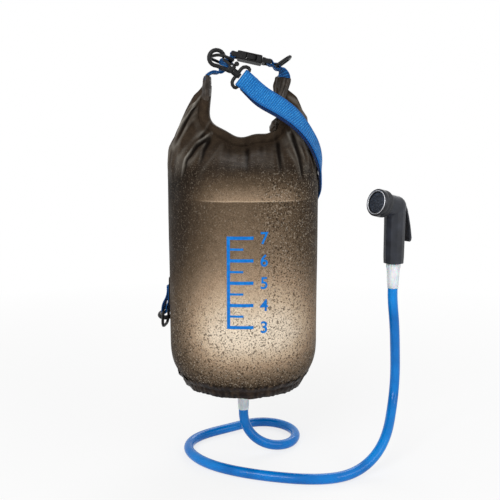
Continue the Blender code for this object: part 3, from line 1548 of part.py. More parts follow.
def make_lever_pin(parent):
    pin = bar(
        "lever_pin",
        (-LEVER_PIN_HALF, LEVER_PIVOT_Y, LEVER_PIVOT_Z),
        (LEVER_PIN_HALF, LEVER_PIVOT_Y, LEVER_PIVOT_Z),
        LEVER_PIN_RADIUS,
        parent,
        12,
    )
    return keep(pin, "bright_metal")


def valve_guide(parent):
    """A frame on the valve's axis: +z comes out at the back of the handle."""
    return guide("valve_frame", Matrix.Translation((0, 0, VALVE_Z)) @ turn_to((0, 1, 0)), parent)


def make_valve_stem(parent):
    profile = [
        (0.0, STEM_TIP_Y),
        (STEM_BUTTON_RADIUS / 2, STEM_TIP_Y),
        (STEM_BUTTON_RADIUS, STEM_TIP_Y - STEM_BUTTON_LENGTH / 2),
        (STEM_BUTTON_RADIUS, STEM_TIP_Y - STEM_BUTTON_LENGTH),
        (STEM_SHAFT_RADIUS, STEM_TIP_Y - STEM_BUTTON_LENGTH),
        (STEM_SHAFT_RADIUS, STEM_INNER_Y + STEM_PISTON_LENGTH),
        (STEM_PISTON_RADIUS, STEM_INNER_Y + STEM_PISTON_LENGTH),
        (STEM_PISTON_RADIUS, STEM_INNER_Y),
        (0.0, STEM_INNER_Y),
    ]
    return keep(turned("valve_stem", profile, parent, 16), "bright_metal")


def make_stem_seal(parent):
    outer = VALVE_BORE_RADIUS - CLEARANCE
    inner = STEM_SHAFT_RADIUS + CLEARANCE
    foot = SEAL_OUTER_Y - SEAL_LENGTH
    profile = [(outer, SEAL_OUTER_Y), (outer, foot), (inner, foot), (inner, SEAL_OUTER_Y)]
    return keep(turned("stem_seal", profile, parent, 16), "black_rubber")


def make_valve_spring(parent):
    radius = VALVE_BORE_RADIUS - 1.4 * CLEARANCE - SPRING_WIRE_RADIUS
    count = SPRING_COILS * SPRING_POINTS_PER_COIL
    points = []
    for step in range(count + 1):
        angle = 2 * math.pi * step / SPRING_POINTS_PER_COIL
        height = SPRING_FRONT_Y + (SPRING_BACK_Y - SPRING_FRONT_Y) * step / count
        points.append((radius * math.cos(angle), radius * math.sin(angle), height))
    spring = rod("valve_spring", points, SPRING_WIRE_RADIUS, parent, resolution=1)
    return keep(spring, "bright_metal")


def build():
    make_bag_body()
    make_base_panel()
    make_base_skirt()
    make_outlet_spigot()
    make_outlet_washer()
    make_outlet_screen()
    make_outlet_locknut()
    make_hose_nut("bag_hose_nut", guide("outlet_frame", Matrix.Translation((0, 0, OUTLET_NUT_TOP_Z))))
    make_hose()

    buckle = guide("buckle_frame", Matrix.Rotation(BUCKLE_TILT, 4, "Y"))
    make_buckle_female(buckle)
    make_buckle_male(buckle)
    make_prong("buckle_prong_front", -1, buckle)
    make_prong("buckle_prong_rear", 1, buckle)

    left_ring = guide("left_ring_frame", left_ring_frame())
    right_ring = guide("right_ring_frame", right_ring_frame())
    make_d_ring("left_d_ring", left_ring)
    make_d_ring("right_d_ring", right_ring)
    turn = Matrix.Rotation(BUCKLE_TILT, 4, "Y")
    line = [Vector(place) for place in roll_line()]
    left_tip = line[0]
    right_tip = line[-1]
    left_down = (line[1] - line[0]).normalized()
    right_down = (line[-2] - line[-1]).normalized()
    left_ring_place = Vector(LEFT_RING_PLACE)
    right_ring_place = Vector(RIGHT_RING_PLACE)
    left_over = left_tip - left_down * WEBBING_THICKNESS * 2
    right_over = right_tip - right_down * WEBBING_THICKNESS * 2
    left_middle = [
        left_ring_place.lerp(left_over, 0.40) - Vector((0, 0, ROLL_THICKNESS * 0.59)),
        left_ring_place.lerp(left_over, 0.78) - Vector((0, 0, ROLL_THICKNESS / 5)),
    ]
    right_middle = [
        right_ring_place.lerp(right_over, 0.62) + Vector((0, 0, ROLL_THICKNESS / 6)),
    ]
    webbings = (
        ("left_webbing", FEMALE_BAR_U, left_ring_place, left_ring, left_tip, left_down, left_middle),
        ("right_webbing", MALE_BAR_U, right_ring_place, right_ring, right_tip, right_down, right_middle),
    )
    roll = make_closure_roll()
    for name, bar_u, ring_place, ring, tip, down, middle in webbings:
        buckle_bar = turn @ Vector((bar_u, 0, BUCKLE_MIDDLE))
        ring_axis = ring.matrix_world.to_3x3() @ Vector((0, 1, 0))
        make_top_webbing(name, buckle_bar, ring_place, ring_axis, tip, tip + down * TUCK_DEPTH, middle)
        pocket = ribbon(
            name + "_pocket",
            [tip - down * OVERRUN, tip + down * (TUCK_DEPTH + CLEARANCE)],
            [(0, 1, 0)] * 2,
            [WEBBING_WIDTH + 2 * CLEARANCE] * 2,
            [SEWN_THICKNESS + 2 * CLEARANCE] * 2,
        )
        cut(roll, pocket)

    upper = guide("upper_hook_frame", upper_hook_frame())
    lower = guide("lower_hook_frame", lower_hook_frame())
    for label, frame in (("upper", upper), ("lower", lower)):
        make_hook_body(label + "_hook_body", frame)
        make_gate(label + "_hook_gate", frame)
        make_gate_pin(label + "_hook_pin", frame)
    make_swivel_eye("upper_swivel_eye", upper)
    quarter = guide("lower_eye_frame", Matrix.Rotation(math.radians(90), 4, "X"), lower)
    make_swivel_eye("lower_swivel_eye", quarter)
    make_shoulder_strap()
    make_strap_slider()
    make_side_patch()
    make_side_tab()
    make_d_ring("side_d_ring", guide("side_ring_frame", side_ring_frame()))

    handset = guide(
        "handset_frame",
        Matrix.Translation(HANDSET_PLACE) @ Matrix.Rotation(HANDSET_TURN, 4, "Z"),
    )
    make_handset_body(handset)
    head = head_guide(handset)
    make_bezel(head)
    make_trim_ring(head)
    make_spray_plate(head)
    make_handset_inlet(handset)
    make_hose_nut("handset_hose_nut", guide("inlet_frame", Matrix.Translation((0, 0, -CLEARANCE)), handset))
    make_lever(handset)
    make_lever_pin(handset)
    valve = valve_guide(handset)
    make_valve_stem(valve)
    make_stem_seal(valve)
    make_valve_spring(valve)


build()
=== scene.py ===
import math

import bmesh
import bpy
import numpy as np
from mathutils import Matrix, Vector, noise


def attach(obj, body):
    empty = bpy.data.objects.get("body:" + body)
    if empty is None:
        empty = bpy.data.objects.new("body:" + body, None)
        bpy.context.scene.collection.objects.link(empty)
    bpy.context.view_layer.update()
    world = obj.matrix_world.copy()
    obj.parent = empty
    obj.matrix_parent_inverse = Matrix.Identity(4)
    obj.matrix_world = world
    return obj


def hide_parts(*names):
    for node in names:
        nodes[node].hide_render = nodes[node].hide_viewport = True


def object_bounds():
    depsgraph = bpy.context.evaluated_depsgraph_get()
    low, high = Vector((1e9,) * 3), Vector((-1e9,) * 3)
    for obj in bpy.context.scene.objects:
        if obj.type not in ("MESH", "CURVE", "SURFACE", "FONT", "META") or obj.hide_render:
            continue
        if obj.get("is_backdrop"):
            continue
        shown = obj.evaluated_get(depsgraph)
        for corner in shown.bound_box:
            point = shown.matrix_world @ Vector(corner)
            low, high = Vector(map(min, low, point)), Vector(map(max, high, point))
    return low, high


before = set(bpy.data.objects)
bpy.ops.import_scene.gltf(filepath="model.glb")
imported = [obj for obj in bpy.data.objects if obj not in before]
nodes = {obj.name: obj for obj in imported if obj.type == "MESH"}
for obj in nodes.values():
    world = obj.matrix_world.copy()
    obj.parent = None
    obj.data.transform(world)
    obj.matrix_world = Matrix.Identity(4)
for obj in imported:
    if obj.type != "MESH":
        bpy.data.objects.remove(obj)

cad_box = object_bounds()


# View: a plain studio shot from the front, level with the bag's mouth and tipped down a little.
# The lens is long enough that the bag's sides stay nearly parallel.
LENS_IN_PIXELS = 676
FRAME_PIXELS = 500
FILM_WIDTH = 36.0
VIEW_PLACE = (0.0095, -0.95, -0.127)
VIEW_DIP = math.radians(8)


def add_object(name, data):
    """A new object in the scene that shows a mesh, a curve, a lamp or a camera."""
    made = bpy.data.objects.new(name, data)
    bpy.context.scene.collection.objects.link(made)
    return made


view_lens = bpy.data.cameras.new("view_lens")
view_lens.sensor_width = FILM_WIDTH
view_lens.lens = LENS_IN_PIXELS / FRAME_PIXELS * FILM_WIDTH
view_camera = add_object("view_camera", view_lens)
view_camera.location = VIEW_PLACE
view_camera.rotation_euler = (math.pi / 2 - VIEW_DIP, 0.0, 0.0)
bpy.context.scene.camera = view_camera
bpy.context.scene.view_settings.view_transform = "Standard"


# Hose: soft blue PVC tube, pushed on the barb under the bag and on the barb of the handset.
# It drops to the ground, makes one loose loop under the bag and climbs to the handset.
HOSE_DIAMETER = 0.014
HOSE_START = (0.0, 0.0, -0.4958)
HOSE_END = (0.211, -0.012, -0.3131)
HOSE_STUB = 0.0035
HOSE_POINTS = 260
HOSE_ROUTE = (
    (0.0020, -0.0015, -0.5145), (0.0072, -0.0030, -0.5262), (0.0166, -0.0040, -0.5373),
    (0.0310, -0.0035, -0.5465), (0.0470, 0.0010, -0.5520), (0.0670, 0.0140, -0.5548),
    (0.0785, 0.0370, -0.5550), (0.0780, 0.0590, -0.5550), (0.0640, 0.0820, -0.5550),
    (0.0400, 0.0945, -0.5550), (0.0120, 0.0920, -0.5550), (-0.0120, 0.0790, -0.5550),
    (-0.0360, 0.0635, -0.5550), (-0.0620, 0.0445, -0.5550), (-0.0785, 0.0200, -0.5550),
    (-0.0810, -0.0010, -0.5550), (-0.0720, -0.0265, -0.5550), (-0.0450, -0.0565, -0.5550),
    (-0.0050, -0.0785, -0.5550), (0.0460, -0.0940, -0.5550), (0.0965, -0.1000, -0.5550),
    (0.1280, -0.0955, -0.5545), (0.1600, -0.0800, -0.5500), (0.1790, -0.0680, -0.5400),
    (0.1945, -0.0530, -0.5260), (0.2055, -0.0350, -0.5110), (0.2135, -0.0150, -0.4950),
    (0.2190, -0.0010, -0.4760), (0.2215, 0.0040, -0.4450), (0.2190, -0.0030, -0.4060),
    (0.2145, -0.0110, -0.3590),
)


def eased(share):
    """A share from 0 to 1 that starts and stops gently."""
    return share ** 2 * (3 - 2 * share)


def cubic(start, leaving, stop, arriving, share):
    """A place on the cubic from start to stop that has these slopes at its ends."""
    rest = (1 - share) ** 2
    return (
        start * (1 + 2 * share) * rest + leaving * share * rest
        + stop * eased(share) + arriving * share ** 2 * (share - 1)
    )


def travel_along(line):
    """The distance travelled at each point of a line."""
    return np.concatenate(([0.0], np.cumsum(np.linalg.norm(np.diff(line, axis=0), axis=1))))


def at_marks(marks, travel, line):
    """The places that a line has at marks along its travel."""
    return np.stack([np.interp(marks, travel, line[:, axis]) for axis in range(3)], axis=-1)


def smooth_line(route, count, first=None, last=None, steps=24):
    """Evenly spaced points on one smooth cubic curve through the points of a route."""
    route = np.array([tuple(place) for place in route], dtype=float)
    spans = np.linalg.norm(np.diff(route, axis=0), axis=1)
    end = len(spans)
    matrix = np.zeros((end + 1, end + 1))
    known = np.zeros(route.shape)
    for index in range(1, end):
        before, after = spans[index - 1:index + 1]
        matrix[index, index - 1:index + 2] = (after, 2 * (before + after), before)
        rise = after * (route[index] - route[index - 1]) / before
        known[index] = 3 * (rise + before * (route[index + 1] - route[index]) / after)
    for tip, near, slope in ((0, 1, first), (end, end - 1, last)):
        if slope is not None:
            matrix[tip, tip] = 1
            known[tip] = slope
        else:
            matrix[tip, [tip, near]] = (2, 1)
            known[tip] = 3 * (route[max(tip, near)] - route[min(tip, near)]) / spans[min(tip, near)]
    slopes = np.linalg.solve(matrix, known)
    dense = []
    for index, span in enumerate(spans):
        share = (np.arange(steps + (index == end - 1)) / steps)[:, None]
        leaving = slopes[index] * span
        arriving = slopes[index + 1] * span
        dense.append(cubic(route[index], leaving, route[index + 1], arriving, share))
    dense = np.concatenate(dense)
    travel = travel_along(dense)
    return at_marks(np.linspace(0, travel[-1], count), travel, dense)


def dye(red, green, blue):
    """A colour from its everyday values of 0 to 255."""
    shares = [value / 255 for value in (red, green, blue)]
    linear = [s / 12.92 if s <= 0.04045 else ((s + 0.055) / 1.055) ** 2.4 for s in shares]
    return (*linear, 1.0)


def feed(socket, value):
    """Gives a socket an amount from its own node tree, or a plain number or colour."""
    if isinstance(value, Amount):
        value.tree.links.new(value.socket, socket)
    else:
        socket.default_value = value


def add_node(tree, kind, feeds=(), **settings):
    """A new node with its settings, and its sockets fed by name or by number."""
    node = tree.nodes.new(kind)
    for name, value in settings.items():
        setattr(node, name, value)
    for name, value in dict(feeds).items():
        feed(node.inputs[name], value)
    return node


class Amount:
    """A number, place or colour inside a node tree; sums and products make new nodes."""

    def __init__(self, node, output):
        self.tree = node.id_data
        self.socket = node.outputs[output]

    def worked(self, operation, other=0.0):
        node = add_node(self.tree, "ShaderNodeMath", {}, operation=operation)
        feed(node.inputs[0], self)
        feed(node.inputs[1], other)
        return Amount(node, "Value")

    def __add__(self, other):
        return self.worked("ADD", other)

    def __mul__(self, other):
        return self.worked("MULTIPLY", other)

    def spread(self, low, high, to_low=0.0, to_high=1.0):
        """Moved from one range to another, and held inside it."""
        ends = {"From Min": low, "From Max": high, "To Min": to_low, "To Max": to_high}
        return Amount(add_node(self.tree, "ShaderNodeMapRange", {"Value": self, **ends}), "Result")

    def graded(self, *stops):
        """A colour that runs through stops of place and colour."""
        node = add_node(self.tree, "ShaderNodeValToRGB", {"Fac": self})
        marks = node.color_ramp.elements
        while len(marks) < len(stops):
            marks.new(0.5)
        for mark, (place, colour) in zip(marks, stops):
            mark.position = place
            mark.color = dye(*colour)
        return Amount(node, "Color")


class Finish:
    """A finish in the making: its material, its node tree, its surface and its tone so far."""

    def __init__(self, name):
        self.material = bpy.data.materials.new(name)
        self.material.use_nodes = True
        self.tree = self.material.node_tree
        self.surface = self.tree.nodes["Principled BSDF"]
        self.tone = None

    def set(self, name, value):
        feed(self.surface.inputs[name], value)

    def on_surface(self, stretch=(1.0, 1.0, 1.0)):
        """The place on the piece, in metres, stretched along its axes."""
        here = Amount(add_node(self.tree, "ShaderNodeTexCoord"), "Object")
        return Amount(add_node(self.tree, "ShaderNodeMapping", {"Vector": here, "Scale": stretch}), "Vector")

    def cloud(self, scale, detail=3.0, stretch=(1.0, 1.0, 1.0)):
        """A soft uneven pattern; its scale is in features a metre."""
        feeds = {"Vector": self.on_surface(stretch), "Scale": scale, "Detail": detail}
        return Amount(add_node(self.tree, "ShaderNodeTexNoise", feeds), "Fac")

    def cells(self, scale):
        """A pattern of cells, for drops."""
        return add_node(self.tree, "ShaderNodeTexVoronoi", {"Vector": self.on_surface(), "Scale": scale})

    def noted(self, name):
        """The number kept at each point under a name."""
        return Amount(add_node(self.tree, "ShaderNodeAttribute", attribute_name=name), "Fac")

    def colour(self, tone):
        self.tone = tone
        self.set("Base Color", tone)

    def tint(self, amount, over, blend_type="MIX"):
        """Lays a colour over the tone by an amount."""
        over = over if isinstance(over, Amount) else dye(*over)
        feeds = {0: amount, 6: self.tone, 7: over}
        mix = add_node(self.tree, "ShaderNodeMix", feeds, data_type="RGBA", blend_type=blend_type)
        self.colour(Amount(mix, 2))

    def wear(self, full, most, scale, bare):
        """A paler tone in patches along the sharper edges."""
        edges = Amount(add_node(self.tree, "ShaderNodeNewGeometry"), "Pointiness")
        patches = self.cloud(scale, 4.0).spread(0.4, 0.62)
        self.tint(edges.spread(0.52, full, 0.0, most) * patches, bare)

    def emboss(self, height, depth, strength=1.0):
        """Fine relief from a height pattern, laid over any that the surface has."""
        feeds = {"Height": height, "Strength": strength, "Distance": depth}
        bump = add_node(self.tree, "ShaderNodeBump", feeds)
        normal = self.surface.inputs["Normal"]
        if normal.is_linked:
            self.tree.links.new(normal.links[0].from_socket, bump.inputs["Normal"])
        self.tree.links.new(bump.outputs["Normal"], normal)


def plain_finish(name, pattern, stops, shine, reliefs=(), specular=0.5, metallic=0.0, shine_range=(0.3, 0.7)):
    """A finish with an uneven tone, an uneven shine and fine reliefs, each from a soft pattern.

    A shine starts with its two roughnesses and a relief with its depth and strength.
    """
    finish = Finish(name)
    finish.colour(finish.cloud(*pattern).graded(*stops))
    glossiest, dullest, *shine_pattern = shine
    finish.set("Roughness", finish.cloud(*shine_pattern).spread(*shine_range, glossiest, dullest))
    for depth, strength, *relief_pattern in reliefs:
        finish.emboss(finish.cloud(*relief_pattern), depth, strength)
    finish.set("Specular IOR Level", specular)
    finish.set("Metallic", metallic)
    return finish


blue_pvc = plain_finish(
    "blue_pvc", (22.0, 4.0), ((0.3, (0, 98, 176)), (0.5, (0, 116, 200)), (0.72, (4, 134, 220))),
    (0.1, 0.26, 160.0, 6.0), [(0.00012, 0.5, 300.0, 2.0)], 0.24, shine_range=(0.42, 0.7),
)
hose_stub = Vector((0.0, 0.0, HOSE_STUB))
hose_route = [Vector(HOSE_START) - hose_stub, *HOSE_ROUTE, Vector(HOSE_END) - hose_stub]
hose_line = smooth_line(hose_route, HOSE_POINTS, (0, 0, -1), (0, 0, 1))
hose_line = np.concatenate(([HOSE_START], hose_line, [HOSE_END]))
hose_curve = bpy.data.curves.new("blue_hose", "CURVE")
hose_curve.dimensions = "3D"
hose_curve.bevel_depth = HOSE_DIAMETER / 2
hose_curve.bevel_resolution = 10
hose_curve.use_fill_caps = True
hose_spline = hose_curve.splines.new("POLY")
hose_spline.points.add(len(hose_line) - 1)
hose_spline.points.foreach_set("co", np.column_stack((hose_line, np.ones(len(hose_line)))).ravel())
hose_spline.use_smooth = True
hose_curve.materials.append(blue_pvc.material)
blue_hose = add_object("blue_hose", hose_curve)
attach(blue_hose, "bag")
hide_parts("hose")
round(float(travel_along(hose_line)[-1]), 3)


# Bag: a tube of coated nylon, welded up the back, full of water to the shoulder line. Its mouth
# narrows into two arms under the roll. The light that comes through the full part from behind is
# painted into the fabric's colour, with painted shade in its creases and painted highlights on its
# folds, its water beads and the waterline.
BAG_RADIUS = 0.105
SHOULDER_Z = -0.165
SIDE_FOOT_Z = -0.389
RIM_Z = -0.4392
RIM_RADIUS = 0.088
BASE_Z = -0.4515
TIP_LEFT_X = -0.049
TIP_RIGHT_X = 0.055
TIP_Z = -0.020
HANDLE_DEPTH = 0.090
ROLL_WIDTH = 0.028
ROLL_THICKNESS = 0.013
ROLL_SHARES = (
    (0.0, 0.0), (-0.01, 0.22), (-0.04, 0.47), (-0.03, 0.67), (0.06, 0.80), (0.20, 0.89),
    (0.355, 0.985), (0.49, 1.0), (0.645, 0.955), (0.80, 0.945), (0.925, 0.865), (0.99, 0.71),
    (0.99, 0.467), (0.97, 0.245), (1.0, 0.02),
)
ROLL_END_SHARE = 0.72
ROLL_SPANS = 22
SIDE_LIFT = 0.150
FACE_LIFT = 0.085
TIP_PULL = 0.050
TIP_RISE = 0.085
FACE_TUCK = 0.075
MOUTH_DEPTH_SHARE = 0.46
FOOT_SHARES = ((0.0, 1.0), (0.26, 0.96), (0.52, 0.82), (0.77, 0.52), (0.92, 0.22), (1.0, 0.0))
WATER_Z = -0.1853
SHELL_COLUMNS = 440
LIP_ROWS = 8
RISE_ROWS = 120
WALL_ROWS = 72
FOOT_ROWS = 34
# Creases on the front: route, width, depth, and how strong the painted highlight is on the lit side beside
# each one.
CREASES = (
    (((-0.0418, -0.034), (-0.0579, -0.053), (-0.0820, -0.089), (-0.0935, -0.114)), 0.0024, 0.0030, 0.8),
    (((-0.0425, -0.085), (-0.0500, -0.096), (-0.0607, -0.107)), 0.0026, 0.0030, 0.5),
    (((-0.0439, -0.101), (-0.0607, -0.114), (-0.0724, -0.133), (-0.0780, -0.160)), 0.0022, 0.0032, 1.0),
    (((-0.0439, -0.104), (-0.0506, -0.119), (-0.0547, -0.140)), 0.0024, 0.0028, 0.2),
    (((0.0055, -0.102), (0.0062, -0.155)), 0.0034, 0.0021, 0.05),
    (((-0.0170, -0.114), (-0.0210, -0.148)), 0.0036, 0.0008, 0.0),
    (((0.0457, -0.098), (0.0499, -0.152)), 0.0025, 0.0032, 0.15),
    (((0.0665, -0.100), (0.0742, -0.130), (0.0808, -0.165)), 0.0026, 0.0034, 0.3),
    (((0.0270, -0.106), (0.0240, -0.136)), 0.0030, 0.0008, 0.0),
)
LEFT_SWELL = (
    (-0.160, 0.0), (-0.148, 0.0008), (-0.136, 0.0026), (-0.122, 0.0049), (-0.108, 0.0060),
    (-0.088, 0.0058), (-0.066, 0.0068), (-0.042, 0.0064), (-0.028, 0.0040), (-0.018, 0.0),
)
RIGHT_SWELL = (
    (-0.112, 0.0), (-0.096, 0.0028), (-0.080, 0.0062), (-0.060, 0.0082), (-0.042, 0.0085),
    (-0.030, 0.0060), (-0.022, 0.0),
)
# Painted backlight through the water: its strength at each height below the waterline and above it, the
# middle of its bright band and that band's half width at each height, and the least that the arms get.
WET_GLOW = (
    (-0.445, 0.02), (-0.432, 0.20), (-0.422, 0.36), (-0.410, 0.50), (-0.398, 0.67), (-0.388, 0.82),
    (-0.374, 0.95), (-0.358, 1.04), (-0.338, 0.98), (-0.310, 0.82), (-0.284, 0.66), (-0.250, 0.48),
    (-0.215, 0.41), (-0.192, 0.37),
)
DRY_GLOW = ((-0.186, 0.60), (-0.176, 0.52), (-0.163, 0.31), (-0.146, 0.14), (-0.125, 0.02))
GLOW_MIDDLE_X = 0.013
GLOW_HALF_WIDTHS = ((-0.31, 0.093), (-0.26, 0.084), (-0.21, 0.077), (-0.17, 0.077))
ARM_TONE = 0.15


def roll_middle(count):
    """The middle line of the rolled mouth, from the left arm's tip to the right arm's tip."""
    width = TIP_RIGHT_X - TIP_LEFT_X
    route = [(TIP_LEFT_X + width * wide, 0.0, TIP_Z - HANDLE_DEPTH * deep) for wide, deep in ROLL_SHARES]
    return smooth_line(route, count)


def directions_along(line):
    """The direction of a line at each of its points."""
    ways = np.gradient(line, axis=0)
    return ways / np.linalg.norm(ways, axis=1)[:, None]


def roll_share(travel):
    """The roll's thickness as a share, at a place from 0 to 1 along it."""
    spans_from_end = np.minimum(travel, 1 - travel) * ROLL_SPANS
    return np.minimum(1.0, ROLL_END_SHARE + (1 - ROLL_END_SHARE) * spans_from_end / 5)


def roll_frames(travel):
    """Places on the roll's middle line and its outward directions, at places from 0 to 1 along it."""
    line = roll_middle(441)
    marks = np.linspace(0, 1, len(line))
    way = at_marks(travel, marks, directions_along(line))
    return at_marks(travel, marks, line), np.stack((way[:, 2], np.zeros(len(way)), -way[:, 0]), axis=1)


def foot_profile(count):
    """Radius and height of the rounded foot, from the straight side to the rim."""
    shares = smooth_line([(deep, wide, 0.0) for deep, wide in FOOT_SHARES], count)
    radii = RIM_RADIUS + (BAG_RADIUS - RIM_RADIUS) * shares[:, 1]
    return radii, SIDE_FOOT_Z + (RIM_Z - SIDE_FOOT_Z) * shares[:, 0]


def round_at(radius, angle, height):
    """A place at a radius and an angle round an upright axis."""
    return (radius * math.cos(angle), radius * math.sin(angle), height)


def fold_noise(angle, height, around, along, seed):
    """A wrinkle field that has no seam round the bag."""
    x, y, z = round_at(around, angle, height * along)
    return noise.noise(Vector((x + seed, y, z)))


def wall_relief(angle, height):
    """How far the full wall stands in or out of its cylinder."""
    return -0.0005 + 0.0005 * fold_noise(angle, height, 3.1, 11, 0)


def within(value):
    """A number held between 0 and 1."""
    return min(1.0, max(0.0, value))


def signed_power(value, power):
    """A power that keeps the sign, which squares up a round section."""
    return math.copysign(abs(value) ** power, value)


def crease_at(x, height):
    """Depth of the drawn creases at a place on the front, and how strong the lit lips beside them are: a
    slight bulge that carries a painted highlight.
    """
    depth = 0.0
    lip = 0.0
    for route, width, deep, lit in CREASES:
        nearest = 1.0
        along = 0.0
        aside = False
        for step, ((x_top, z_top), (x_foot, z_foot)) in enumerate(zip(route, route[1:])):
            run_x = x_foot - x_top
            run_z = z_foot - z_top
            near = within(((x - x_top) * run_x + (height - z_top) * run_z) / (run_x ** 2 + run_z ** 2))
            gap = math.hypot(x - x_top - run_x * near, height - z_top - run_z * near)
            if gap < nearest:
                nearest = gap
                along = (step + near) / (len(route) - 1)
                aside = (x - x_top) * run_z - (height - z_top) * run_x > 0
        narrow = width * (1.15 - 0.35 * along)
        depth += deep * min(1.0, 0.55 + along * 3) * (1 - along ** 3) * math.exp(-(nearest / narrow) ** 2)
        if aside:
            lip += lit * (1 - along ** 6) * math.exp(-((nearest - 1.35 * narrow) / (0.5 * narrow)) ** 2)
    return depth, min(1.0, lip)


def lip_rows(angles, travel):
    """The mouth's edge: on the front it laps over the roll to its top, behind it is tucked in."""
    place, outward = roll_frames(travel)
    half_thick = (ROLL_THICKNESS * roll_share(travel) / 2 + 0.0014)[:, None]
    half_wide = ROLL_WIDTH / 2 + 0.0014
    across = np.clip(3 * np.sin(angles), -1, 1)
    for turn in np.radians(np.linspace(188, 42, LIP_ROWS)):
        lapped = place + outward * half_thick * signed_power(math.cos(turn), 0.72)
        lapped[:, 1] += half_wide * signed_power(math.sin(turn), 0.62) * across
        tucked = place + outward * half_thick * 0.55
        tucked[:, 1] += half_wide * 0.8 * across
        yield np.where((across < 0)[:, None], lapped, tucked)


def shell_rows():
    """Rings of the bag's skin, from the mouth down to the rim, before its wrinkles."""
    angles = np.linspace(0, 2 * np.pi, SHELL_COLUMNS, endpoint=False)
    cosine = np.cos(angles)
    sine = np.sin(angles)

    def ring(radius, height):
        return np.stack((radius * cosine, radius * sine, np.full(len(angles), height)), axis=1)

    travel = (1 + (ROLL_SPANS - 2) * np.abs(1 - angles / np.pi)) / ROLL_SPANS
    place, outward = roll_frames(travel)
    high = place + outward * (ROLL_THICKNESS * roll_share(travel) / 2 + 0.0006)[:, None]
    high[:, 1] = ROLL_WIDTH * MOUTH_DEPTH_SHARE * np.clip(3 * sine, -1, 1)
    low = ring(BAG_RADIUS, SHOULDER_Z)
    sideways = cosine ** 2
    lift = np.zeros((len(angles), 3))
    lift[:, 2] = SIDE_LIFT * sideways + FACE_LIFT * (1 - sideways)
    inward = np.stack((
        -TIP_PULL * cosine * sideways,
        -FACE_TUCK * sine,
        TIP_RISE * sideways + FACE_TUCK * (1 - sideways) / 2,
    ), axis=1)
    rows = list(lip_rows(angles, travel))
    rows += [cubic(low, lift, high, inward, climb) for climb in np.linspace(1, 0, RISE_ROWS, endpoint=False)]
    wall_heights = np.linspace(SHOULDER_Z, SIDE_FOOT_Z, WALL_ROWS, endpoint=False)
    rows += [ring(BAG_RADIUS, height) for height in wall_heights]
    rows += [ring(radius, height) for radius, height in zip(*foot_profile(FOOT_ROWS))]
    rows.append(ring(RIM_RADIUS * 0.86, RIM_Z + (BASE_Z - RIM_Z) * 0.35))
    return np.array(rows), angles


def outward_normals(rows):
    """The outward direction at each point of a grid that closes on itself round the bag."""
    round_step = np.roll(rows, -1, axis=1) - np.roll(rows, 1, axis=1)
    normals = np.cross(np.gradient(rows, axis=0), round_step)
    return normals / np.maximum(np.linalg.norm(normals, axis=2, keepdims=True), 1e-9)


def grid_faces(rows, columns, closed=True, joined=False, capped=False):
    """Faces of a grid: closed round its columns, its last row joined to its first, or its ends capped."""
    faces = []
    for row in range(rows if joined else rows - 1):
        corner = row * columns
        below = (row + 1) % rows * columns
        for column in range(columns if closed else columns - 1):
            after = (column + 1) % columns
            faces.append((corner + column, below + column, below + after, corner + after))
    if capped:
        faces.append(tuple(range(columns)))
        faces.append(tuple(reversed(range((rows - 1) * columns, rows * columns))))
    return faces


def make_piece(name, points, faces, finish, slot_name, body="bag", node_name=None, **notes):
    """A smooth-shaded piece on one body of the frame; notes are numbers kept at its points."""
    mesh = bpy.data.meshes.new(name)
    mesh.from_pydata([tuple(place) for place in points], [], faces)
    mesh.materials.append(finish.material)
    mesh.shade_smooth()
    piece = add_object(name, mesh)
    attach(piece, body)
    if node_name:
        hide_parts(node_name)
    for note, values in notes.items():
        store = mesh.attributes.new(note, "FLOAT", "POINT")
        store.data.foreach_set("value", np.asarray(values, dtype=np.float32).ravel())
    return piece


